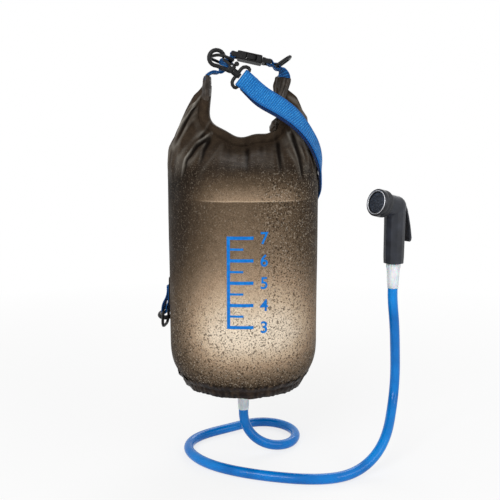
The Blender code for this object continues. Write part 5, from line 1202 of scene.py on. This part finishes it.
def make_top_webbing(name, bar_u, ring_place, ring_axis, tip, tip_axis, down, middle_points, node_name):
    """Both layers as one band: from the arm's end over the ring's bar, round the buckle, and back."""
    bar_place = Matrix.Rotation(BUCKLE_TILT, 3, "Y") @ Vector((bar_u, 0.0, BUCKLE_MIDDLE))
    toward = (ring_place - bar_place).normalized()
    after = (middle_points[0] - ring_place).normalized()
    ring_reach = RING_ROD_RADIUS + 0.0003 + LAYER / 2
    bar_reach = WEB_BAR_RADIUS + 0.0003 + LAYER / 2
    middle_line = [
        (bar_place + toward * (bar_reach * 0.9), bar_reach * 0.9, toward, DEPTH_WAY),
        (bar_place.lerp(ring_place, 0.5), 0.0012, toward, DEPTH_WAY.lerp(ring_axis, 0.5)),
        (ring_place - toward * (ring_reach * 0.9), ring_reach * 0.6, toward, ring_axis),
        (ring_place, ring_reach, (toward + after).normalized(), ring_axis),
        (ring_place + after * (ring_reach * 1.4), ring_reach * 0.5, after, ring_axis),
    ]
    places = [ring_place, *middle_points, tip, tip + down * TUCK_DEPTH]
    for index in range(1, len(places)):
        place = places[index]
        way = (place - places[index - 1]).normalized()
        if index < len(places) - 1:
            way = (way + (places[index + 1] - place).normalized()).normalized()
        share = min(1.0, index / (len(middle_points) + 1))
        middle_line.append((place, HALF_GAP, way, ring_axis.lerp(tip_axis, share)))
    upper = [(place - face_of(way, across) * gap, across) for place, gap, way, across in middle_line]
    lower = [(place + face_of(way, across) * gap, across) for place, gap, way, across in middle_line]
    wrap = stations_round(bar_place, toward, -face_of(toward, DEPTH_WAY), bar_reach)
    stations = list(reversed(upper)) + [(place, DEPTH_WAY) for place in wrap] + lower
    widths = [
        WEBBING_WIDTH * (0.985 - 0.045 * math.exp(-((place - ring_place).length / 0.006) ** 2))
        for place, across in stations
    ]
    return make_band(name, stations, widths, top_webbing_blue, node_name)


def make_stitches(name, rows, finish):
    """Short thread stitches that lie along rows of points; each row has its points and normals."""
    points = []
    faces = []
    stitch_faces = grid_faces(len(STITCH_SHAPE), STITCH_SIDES)
    for row_points, row_normals in rows:
        row_points = np.array([tuple(place) for place in row_points])
        row_normals = np.array([tuple(way) for way in row_normals])
        travel = travel_along(row_points)
        pitch = travel[-1] / max(1, int(travel[-1] / STITCH_PITCH))
        for begin in np.arange(round(travel[-1] / pitch)) * pitch:
            faces += [tuple(len(points) + corner for corner in face) for face in stitch_faces]
            for share, rise, size in STITCH_SHAPE:
                mark = begin + pitch * (0.08 + 0.8 * share)
                behind, place, beyond = (
                    Vector(at_marks(mark + step, travel, row_points)) for step in (-0.0004, 0.0, 0.0004)
                )
                up = Vector(at_marks(mark, travel, row_normals)).normalized()
                beside = (beyond - behind).normalized().cross(up).normalized()
                for turn in range(STITCH_SIDES):
                    angle = math.pi * 2 * turn / STITCH_SIDES
                    ring = beside * math.cos(angle) * 1.2 + up * math.sin(angle)
                    points.append(place + (up * rise + ring * size) * THREAD_RADIUS)
    return make_piece(name, points, faces, finish, "blue_webbing")


def cross_row(line, side, face, share, lift):
    """A stitch row straight across a band, at a share of its length."""
    index = int(share * (len(line) - 1))
    marks = np.linspace(-0.42, 0.42, 9) * WEBBING_WIDTH
    return (
        [line[index] + side[index] * mark + face[index] * lift for mark in marks],
        [face[index] * math.copysign(1.0, lift)] * len(marks),
    )


top_webbing_blue = webbing_finish("top_webbing_blue", (2, 52, 108), (8, 112, 190), (34, 138, 214))
webbing_thread = thread_finish("webbing_thread", (28, 104, 176), (12, 66, 124))
roll_line = [Vector(place) for place in roll_middle(23)]
left_tip = roll_line[0]
left_down = (roll_line[1] - left_tip).normalized()
left_over = left_tip - left_down * TIP_OVERLAP
right_tip = roll_line[-1]
right_down = (roll_line[-2] - right_tip).normalized()
right_over = right_tip - right_down * TIP_OVERLAP
left_band = make_top_webbing(
    "left_top_webbing", FEMALE_BAR_U, LEFT_RING_PLACE, LEFT_RING_AXIS, left_tip, DEPTH_WAY, left_down,
    [
        LEFT_RING_PLACE.lerp(left_over, 0.40) - Vector((0.0, 0.0, ROLL_THICKNESS * 0.59)),
        LEFT_RING_PLACE.lerp(left_over, 0.78) - Vector((0.0, 0.0, ROLL_THICKNESS / 5)),
    ],
    "left_webbing",
)
right_band = make_top_webbing(
    "right_top_webbing", MALE_BAR_U, RIGHT_RING_PLACE, DEPTH_WAY,
    right_tip, Matrix.Rotation(RIGHT_TWIST, 3, -right_down) @ DEPTH_WAY, right_down,
    [RIGHT_RING_PLACE.lerp(right_over, 0.62) + Vector((0.0, 0.0, ROLL_THICKNESS / 6))],
    "right_webbing",
)
top_stitches = make_stitches("top_webbing_stitches", [
    cross_row(line, side, face, share, lift)
    for band, line, side, face in (left_band, right_band)
    for share in (0.10, 0.15)
    for lift in (LAYER / 2, -LAYER / 2)
], webbing_thread)


# Shoulder strap: 25 mm ribbed webbing from the upper hook over the bag's right shoulder, round
# the back to the lower hook. Its sewn tail lies under it as a second layer, coloured darker as
# painted shade under the strap's edge.
EYE_BAR_X = -0.012
EYE_ROD_RADIUS = 0.00225
EYE_WRAP = EYE_ROD_RADIUS + 0.0003 + LAYER / 2
EYE_REACH = 1.5 * (EYE_ROD_RADIUS + 0.0021)
STRAP_SHARES = (
    (0.195, -0.195, -0.262), (0.440, -0.300, -0.365), (0.715, -0.425, -0.508),
    (0.905, -0.370, -0.665), (1.012, -0.185, -0.835),
)
STRAP_LIFT = 0.0038
STRAP_TURN = Vector((0.285, 0.775, 0.565))
STRAP_TURN_SHARE = 0.64
STRAP_SIDE_ANGLE = math.radians(4)
FRONT_STATIONS = 15
BACK_SPANS = 17
TAIL_DROP = 0.0021
TAIL_SHIFT = 0.0042

upper_up = UPPER_ALONG.cross(UPPER_ACROSS)
upper_bar = UPPER_PLACE + UPPER_ALONG * EYE_BAR_X
lower_bar = LOWER_PLACE + LOWER_ALONG * EYE_BAR_X


def tangent_at(angle):
    """The level direction along the bag's side at an angle."""
    return Vector((-math.sin(angle), math.cos(angle), 0.0))


def strap_stations():
    """Places and directions across of the strap's middle line, from eye to eye."""
    route = [upper_bar - UPPER_ALONG * EYE_REACH]
    route += [(BAG_RADIUS * wide, BAG_RADIUS * deep, -SHOULDER_Z * high) for wide, deep, high in STRAP_SHARES]
    route.append(on_side(STRAP_SIDE_ANGLE, STRAP_LIFT, SHOULDER_Z))
    front = smooth_line(route, FRONT_STATIONS, tuple(-UPPER_ALONG), None)
    final = lower_bar - LOWER_ALONG * EYE_REACH
    turn = math.atan2(final.y, final.x) - STRAP_SIDE_ANGLE
    final_lift = math.hypot(final.x, final.y) - BAG_RADIUS
    drop = final.z - SHOULDER_Z
    tilt = math.atan2(-drop, (BAG_RADIUS + STRAP_LIFT) * turn)
    upright = Vector((0.0, 0.0, math.cos(tilt)))
    side_way = upright + tangent_at(STRAP_SIDE_ANGLE) * math.sin(tilt)
    stations = []
    for index, place in enumerate(front):
        share = index / (FRONT_STATIONS - 1)
        near = eased(min(1.0, share / STRAP_TURN_SHARE))
        far = max(0.0, (share - STRAP_TURN_SHARE) / (1 - STRAP_TURN_SHARE))
        stations.append((Vector(place), upper_up.lerp(STRAP_TURN, near).lerp(side_way, far)))
    for index in range(1, BACK_SPANS):
        share = index / BACK_SPANS
        angle = STRAP_SIDE_ANGLE + turn * share
        lift = STRAP_LIFT + (final_lift - STRAP_LIFT) * max(0.0, share * 5 - 4)
        place = on_side(angle, lift, SHOULDER_Z + drop * share)
        stations.append((place, upright + tangent_at(angle) * math.sin(tilt)))
    stations.append((final, LOWER_ACROSS))
    return stations


def end_loop(bar, way, across, first, second):
    """The strap's end, folded back round an eye's bar: two places on its sewn end, then the fold."""
    face = face_of(way, across)
    wrap = stations_round(bar, way, face, EYE_WRAP)
    return [
        bar + way * first[0] + face * (HALF_GAP * first[1]),
        bar + way * second[0] + face * (HALF_GAP * second[1]),
        bar + face * EYE_WRAP, *wrap[1:-1], bar - face * EYE_WRAP,
    ]


def make_strap_tail(stations):
    """The under-layer, a little below the strap and to its lower side, in a darker blue that is painted
    shade.
    """
    places = []
    for index, (place, way) in enumerate(stations[:FRONT_STATIONS]):
        ahead = (stations[index + 1][0] - stations[max(0, index - 1)][0]).normalized()
        way = (way - ahead * way.dot(ahead)).normalized()
        under = ahead.cross(way).normalized()
        outward = Vector((place.x, place.y, 0.0)).normalized() + Vector((0.0, 0.0, 0.6))
        if under.dot(outward) > 0:
            under = -under
        places.append((place + under * TAIL_DROP - way * (TAIL_SHIFT * min(1.0, 0.4 + index / 4)), way))
    navy = webbing_finish("strap_tail_navy", (2, 22, 56), (4, 48, 108), (10, 66, 136))
    return make_band("strap_tail", places, [WEBBING_WIDTH * 0.97] * len(places), navy)[0]


def make_shoulder_strap(stations):
    """The strap with both its folded ends, and the rows that its edges are stitched along."""
    near_loop = end_loop(upper_bar, -UPPER_ALONG, upper_up, (0.016, -2.0), (0.009, -2.1))
    near_loop[2:] = reversed(near_loop[2:])
    far_loop = end_loop(lower_bar, -LOWER_ALONG, LOWER_ACROSS, (0.017, 1.6), (0.009, 1.7))
    far_face = face_of(-LOWER_ALONG, LOWER_ACROSS)
    whole = [(place, upper_up) for place in near_loop] + stations[1:-1]
    whole.append((stations[-1][0] - far_face * HALF_GAP * 0.4, LOWER_ACROSS))
    whole += [(place, LOWER_ACROSS) for place in reversed(far_loop)]
    blue = webbing_finish("strap_blue", (2, 84, 160), (18, 138, 222), (74, 172, 240))
    widths = [WEBBING_WIDTH] * len(whole)
    band, line, side, face = make_band("shoulder_webbing", whole, widths, blue, "shoulder_strap")
    steps = range(int(len(line) * 0.045), int(len(line) * 0.95), 3)
    rows = [
        (
            [
                line[step] + side[step] * (WEBBING_WIDTH * offset) + face[step] * (LAYER / 2 * sign)
                for step in steps
            ],
            [face[step] * sign for step in steps],
        )
        for offset in (-0.40, 0.40)
        for sign in (1, -1)
    ]
    return band, rows


strap_middle = strap_stations()
shoulder_strap, strap_rows = make_shoulder_strap(strap_middle)
strap_tail = make_strap_tail(strap_middle)
strap_thread = thread_finish("strap_thread", (30, 112, 186), (14, 74, 134))
strap_stitches = make_stitches("strap_stitches", strap_rows, strap_thread)


# Side fixing: a patch of the coated fabric is welded on the bag's left side, and a loop of
# webbing sewn to it holds the D-ring that the strap's lower hook is clipped to.
TAB_ANGLE = math.radians(172)
PATCH_WIDTH = 0.038
PATCH_TOP_Z = -0.300
PATCH_FOOT_Z = -0.340
PATCH_GRID = 22
SIDE_RING_LIFT = 0.0092
SIDE_RING_Z = -0.3505
SIDE_RING_REACH = RING_ROD_RADIUS + 0.0003 + LAYER / 2
LOOP_DOWN = ((0.0021, -0.3125), (0.0022, -0.3200), (0.0024, -0.3290), (0.0032, -0.3375))
LOOP_UP = ((0.0062, -0.3300), (0.0040, -0.3215), (0.0038, -0.3125))
STITCH_BOX = ((-0.40, -0.3135), (0.40, -0.3135), (0.40, -0.3205), (-0.40, -0.3205), (-0.40, -0.3135))
STITCH_LIFT = 0.0047


def make_side_patch():
    points = []
    shares = [step / (PATCH_GRID - 1) for step in range(PATCH_GRID)]
    for lift in (0.0012, 0.0001):
        for up in shares:
            for aside in shares:
                wide = aside * 2 - 1
                squeeze = 0.0045 * (max(0.0, abs(wide) - 0.82) / 0.18) ** 2
                height = PATCH_FOOT_Z + (PATCH_TOP_Z - PATCH_FOOT_Z) * up
                height += squeeze * (1 - 2 * up) * (1 if abs(up - 0.5) > 0.3 else 0)
                angle = TAB_ANGLE + wide * PATCH_WIDTH / BAG_RADIUS / 2
                swell = 0.00012 * noise.noise(Vector((wide * 4, up * 5, 3)))
                points.append(on_side(angle, lift + swell, height))
    faces = grid_faces(PATCH_GRID, PATCH_GRID, closed=False)
    offset = PATCH_GRID ** 2
    faces += [tuple(offset + corner for corner in reversed(face)) for face in faces]
    last = PATCH_GRID - 1
    border = list(range(last))
    border += [row * PATCH_GRID + last for row in range(last)]
    border += [last * PATCH_GRID + column for column in range(last, 0, -1)]
    border += [row * PATCH_GRID for row in range(last, 0, -1)]
    for index, corner in enumerate(border):
        after = border[(index + 1) % len(border)]
        faces.append((corner, after, offset + after, offset + corner))
    # An even, faint share of the crest tint, which makes the whole patch a little lighter.
    ridge = [0.15] * len(points)
    return make_piece(
        "welded_patch", points, faces, rolled_nylon, "coated_fabric", "bag", "side_patch", ridge=ridge,
    )


def make_side_loop():
    tangent = tangent_at(TAB_ANGLE)
    route = [*LOOP_DOWN, (SIDE_RING_LIFT - SIDE_RING_REACH, -0.3460)]
    for step in range(1, 8):
        out, height = Matrix.Rotation(math.pi + math.pi * step / 8, 2) @ Vector((SIDE_RING_REACH, 0.0))
        route.append((SIDE_RING_LIFT + out, SIDE_RING_Z + height))
    route += [(SIDE_RING_LIFT + SIDE_RING_REACH, -0.3480), (SIDE_RING_LIFT + 0.0012, -0.3385), *LOOP_UP]
    stations = [(on_side(TAB_ANGLE, lift, height), tangent) for lift, height in route]
    widths = [WEBBING_WIDTH * 0.985] * len(stations)
    band = make_band("side_loop", stations, widths, top_webbing_blue, "side_tab")[0]
    outward = Vector(round_at(1.0, TAB_ANGLE, 0.0))
    corners = [
        on_side(TAB_ANGLE, STITCH_LIFT, height) + tangent * (WEBBING_WIDTH * wide)
        for wide, height in STITCH_BOX
    ]
    rows = [
        ([begin.lerp(stop, share / 6) for share in range(7)], [outward] * 7)
        for begin, stop in zip(corners, corners[1:])
    ]
    make_stitches("side_loop_stitches", rows, webbing_thread)
    return band


side_patch = make_side_patch()
side_loop = make_side_loop()


# Handset: a charcoal moulding with a bent neck. Water comes up the handle, past a sprung valve
# that the thumb lever opens, and out through the jets of the plate in its collar.
HANDSET_PLACE = Vector((0.211, -0.012, -0.2773))
HANDSET_TURN = math.radians(-57)
BODY_RADIUS = 0.0165
ELBOW_Z = 0.0790
HEAD_PITCH = math.radians(12)
HEAD_LENGTH = 0.0288
COLLAR_RADIUS = 0.0190
COLLAR_BACK = -0.0065
COLLAR_FRONT = 0.0080
COLLAR_INNER = BODY_RADIUS * 0.975 + 0.00042
COLLAR_LIP_RADIUS = 0.0142
COLLAR_LIP = 0.0050
COLLAR_COLUMNS = 288
COLLAR_RIBS = 72
RIB_DEPTH = 0.00022
TRIM_OUTER_RADIUS = 0.0168
TRIM_INNER_RADIUS = 0.0153
TRIM_DEPTH = 0.0010
PLATE_RADIUS = 0.0139
PLATE_TOP = 0.0063
PLATE_FOOT = 0.0033
PLATE_DOME = 0.0012
PLATE_SHARES = (0.02, 0.12, 0.22, 0.32, 0.42, 0.52, 0.62, 0.72, 0.82, 0.90, 0.96)
GROOVE_SHARES = (0.52, 0.82)
GROOVE_DEPTH = 0.00025
JET_RINGS = ((1, 0.0, 0.0), (6, 0.0045, 0.0), (12, 0.0092, 0.2))
NOZZLE_PROFILE = (
    (0.00135, -0.0003), (0.00125, 0.0004), (0.00105, 0.0008), (0.00075, 0.0009), (0.00052, 0.0007),
    (0.00045, -0.0004),
)
NOZZLE_SIDES = 16

handset_frame = Matrix.Translation(HANDSET_PLACE) @ Matrix.Rotation(HANDSET_TURN, 4, "Z")
head_way = Vector((0.0, -math.cos(HEAD_PITCH), math.sin(HEAD_PITCH)))
head_place = Vector((0.0, 0.0, ELBOW_Z)) + head_way * HEAD_LENGTH
head_turn = head_way.to_track_quat("Z", "Y").to_matrix().to_4x4()
head_frame = handset_frame @ Matrix.Translation(head_place) @ head_turn


def charcoal_finish(name, base=(36, 39, 47)):
    dark = [value * 0.72 for value in base]
    light = [min(255, value * 1.3) for value in base]
    finish = plain_finish(
        name, (60.0, 4.0), ((0.3, dark), (0.52, base), (0.75, light)),
        (0.28, 0.44, 300.0, 4.0), [(0.00007, 0.6, 1600.0, 2.0)], 0.34,
    )
    finish.wear(0.62, 0.5, 380.0, (140, 138, 136))
    return finish


def collar_rib(angle):
    return RIB_DEPTH * math.cos(COLLAR_RIBS * angle)


def make_collar():
    step = COLLAR_FRONT - COLLAR_LIP
    groove = COLLAR_FRONT - TRIM_DEPTH
    profile = (
        (COLLAR_INNER, COLLAR_BACK), (COLLAR_RADIUS - 0.0010, COLLAR_BACK),
        (COLLAR_RADIUS - 0.0003, COLLAR_BACK + 0.0004), (COLLAR_RADIUS - 0.0002, COLLAR_BACK + 0.0012),
        (COLLAR_RADIUS - 0.0006, COLLAR_BACK + 0.0016), (COLLAR_RADIUS - 0.00024, COLLAR_BACK + 0.0022, 1),
        (COLLAR_RADIUS - 0.00022, COLLAR_BACK + 0.0070, 1), (COLLAR_RADIUS - 0.0006, COLLAR_BACK + 0.0076),
        (COLLAR_RADIUS, COLLAR_BACK + 0.0084), (COLLAR_RADIUS, COLLAR_FRONT - 0.0014),
        (COLLAR_RADIUS - 0.0005, COLLAR_FRONT - 0.0004), (COLLAR_RADIUS - 0.0013, COLLAR_FRONT),
        (TRIM_OUTER_RADIUS + 0.0003, COLLAR_FRONT), (TRIM_OUTER_RADIUS + 0.0003, groove),
        (TRIM_INNER_RADIUS - 0.0003, groove), (TRIM_INNER_RADIUS - 0.0003, COLLAR_FRONT),
        (COLLAR_LIP_RADIUS + 0.0003, COLLAR_FRONT - 0.0003), (COLLAR_LIP_RADIUS, COLLAR_FRONT - 0.0009),
        (COLLAR_LIP_RADIUS, step), (COLLAR_INNER, step),
    )
    return turned_piece(
        "spray_collar", profile, charcoal_finish("collar_charcoal", (30, 32, 37)), "charcoal_plastic",
        head_frame, "bag", "head_bezel", COLLAR_COLUMNS, collar_rib,
    )


def make_face_ring():
    """A rounded bright ring, bedded in the collar's groove."""
    steel = plain_finish(
        "face_ring_steel", (260.0, 3.0), ((0.3, (206, 208, 213)), (0.7, (238, 239, 241))),
        (0.36, 0.48, 500.0, 3.0), metallic=0.85,
    )
    half_wide = (TRIM_OUTER_RADIUS - TRIM_INNER_RADIUS) / 2
    middle = COLLAR_FRONT - 0.0004
    profile = [
        (TRIM_INNER_RADIUS + half_wide * (1 + math.cos(turn)), middle + 0.0007 * math.sin(turn))
        for turn in [math.radians(degrees) for degrees in range(0, 360, 20)]
    ]
    return turned_piece(
        "bright_face_ring", profile, steel, "bright_metal", head_frame, "bag", "face_trim_ring",
    )


def make_spray_plate(finish):
    profile = []
    for share in PLATE_SHARES:
        groove = GROOVE_DEPTH if share in GROOVE_SHARES else 0.0
        profile.append((PLATE_RADIUS * share, PLATE_TOP + PLATE_DOME * (1 - share ** 2) - groove))
    profile += [
        (PLATE_RADIUS - 0.0003, PLATE_TOP), (PLATE_RADIUS, PLATE_TOP - 0.0004), (PLATE_RADIUS, PLATE_FOOT),
        (PLATE_RADIUS * 0.02, PLATE_FOOT),
    ]
    return turned_piece("jet_plate", profile, finish, "charcoal_plastic", head_frame, "bag", "spray_plate")


def make_nozzles(finish):
    """The low rubbery nozzles of the spray plate: one in the middle and two rings round it."""
    points = []
    faces = []
    nozzle_faces = grid_faces(len(NOZZLE_PROFILE), NOZZLE_SIDES)
    last_ring = (len(NOZZLE_PROFILE) - 1) * NOZZLE_SIDES
    nozzle_faces.append(tuple(last_ring + turn for turn in range(NOZZLE_SIDES)))
    for count, radius, first_angle in JET_RINGS:
        height = PLATE_TOP + PLATE_DOME * (1 - (radius / PLATE_RADIUS) ** 2)
        for jet in range(count):
            middle = Vector(round_at(radius, 2 * math.pi * jet / count + first_angle, height))
            faces += [tuple(len(points) + corner for corner in face) for face in nozzle_faces]
            for ring_radius, rise in NOZZLE_PROFILE:
                for turn in range(NOZZLE_SIDES):
                    offset = Vector(round_at(ring_radius, 2 * math.pi * turn / NOZZLE_SIDES, rise))
                    points.append(head_frame @ (middle + offset))
    return make_piece("jet_nozzles", points, faces, finish, "charcoal_plastic")


plate_grey = plain_finish(
    "plate_blue_grey", (160.0, 3.0), ((0.3, (38, 41, 47)), (0.55, (52, 57, 66)), (0.75, (74, 81, 93))),
    (0.36, 0.5, 420.0, 3.0), [(0.00008, 0.5, 900.0, 2.0)], 0.4,
)
spray_collar = make_collar()
face_ring = make_face_ring()
jet_plate = make_spray_plate(plate_grey)
jet_nozzles = make_nozzles(plate_grey)
handset_nut = make_tapered_nut("handset_inlet_nut", HANDSET_NUT_PLACE, "handset_hose_nut", "handset_nut")
mould("handset_body", charcoal_finish("handle_charcoal"), 0.00050, 14)
mould("thumb_lever", charcoal_finish("lever_charcoal", (38, 40, 46)), 0.00032, 8)
mould("handset_inlet", milky_finish("inlet_plastic"), 0.0004, 4)
mould("lever_pin", metal_finish("lever_pin_steel"), 0.0003, 2)
mould("valve_stem", metal_finish("stem_steel"), 0.0002, 2, -0.00012)
mould("stem_seal", rubber_finish("seal_rubber"), 0.0002, 2, -0.00010)
mould("valve_spring", metal_finish("spring_steel"), 0.0002, 1)


# Studio: a pale floor under the hose, a white surround, one large soft lamp from the upper left
# and weaker ones from the right and behind, at a level where colours come out as they were mixed.
FLOOR_Z = -0.5622
FLOOR_HALF = 4.0
WHITE = (1.0, 1.0, 1.0, 1.0)
LAMP_AIM = Vector((0.03, 0.0, -0.26))
SURROUND_LIGHT = 0.46


def seen_or_mirrored(tree):
    """One where a ray comes from the camera, a mirror-like surface or through glass."""
    ray = add_node(tree, "ShaderNodeLightPath")
    both = Amount(ray, "Is Camera Ray").worked("MAXIMUM", Amount(ray, "Is Glossy Ray"))
    return both.worked("MAXIMUM", Amount(ray, "Is Transmission Ray"))


def make_floor():
    finish = Finish("studio_floor")
    finish.set("Base Color", (0.92, 0.92, 0.92, 1.0))
    finish.set("Roughness", 0.9)
    finish.set("Specular IOR Level", 0.0)
    white = add_node(finish.tree, "ShaderNodeEmission", {"Color": WHITE, "Strength": 1.0})
    away = add_node(finish.tree, "ShaderNodeVectorMath", {0: finish.on_surface()}, operation="LENGTH")
    share = seen_or_mirrored(finish.tree) * Amount(away, "Value").spread(0.62, 1.5, 0.76, 1.0)
    feeds = {"Fac": share, 1: Amount(finish.surface, "BSDF"), 2: Amount(white, "Emission")}
    mix = add_node(finish.tree, "ShaderNodeMixShader", feeds)
    feed(finish.tree.nodes["Material Output"].inputs["Surface"], Amount(mix, "Shader"))
    mesh = bpy.data.meshes.new("studio_floor")
    corners = [(x * FLOOR_HALF, y * FLOOR_HALF, FLOOR_Z) for x, y in ((-1, -1), (1, -1), (1, 1), (-1, 1))]
    mesh.from_pydata(corners, [], [(0, 1, 2, 3)])
    mesh.materials.append(finish.material)
    floor = add_object("studio_floor", mesh)
    floor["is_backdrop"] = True
    return floor


def add_lamp(name, place, size, power):
    lamp = bpy.data.lights.new(name, "AREA")
    lamp.shape = "SQUARE"
    lamp.size = size
    lamp.energy = power
    carrier = add_object(name, lamp)
    carrier.location = place
    carrier.rotation_euler = (LAMP_AIM - Vector(place)).to_track_quat("-Z", "Y").to_euler()


studio_floor = make_floor()
surround = bpy.data.worlds.new("white_surround")
bpy.context.scene.world = surround
surround.use_nodes = True
sky = surround.node_tree.nodes["Background"]
feed(sky.inputs["Color"], WHITE)
feed(sky.inputs["Strength"], seen_or_mirrored(surround.node_tree).spread(0.0, 1.0, SURROUND_LIGHT, 1.0))
add_lamp("key_lamp", (-0.60, -1.25, 0.50), 0.8, 13.0)
add_lamp("fill_lamp", (1.10, -0.85, 0.10), 0.7, 4.0)
add_lamp("back_lamp", (0.35, 1.20, 0.70), 0.9, 8.0)


new_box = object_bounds()
plain_boxes = [[[float(value) for value in corner] for corner in box] for box in (cad_box, new_box)]
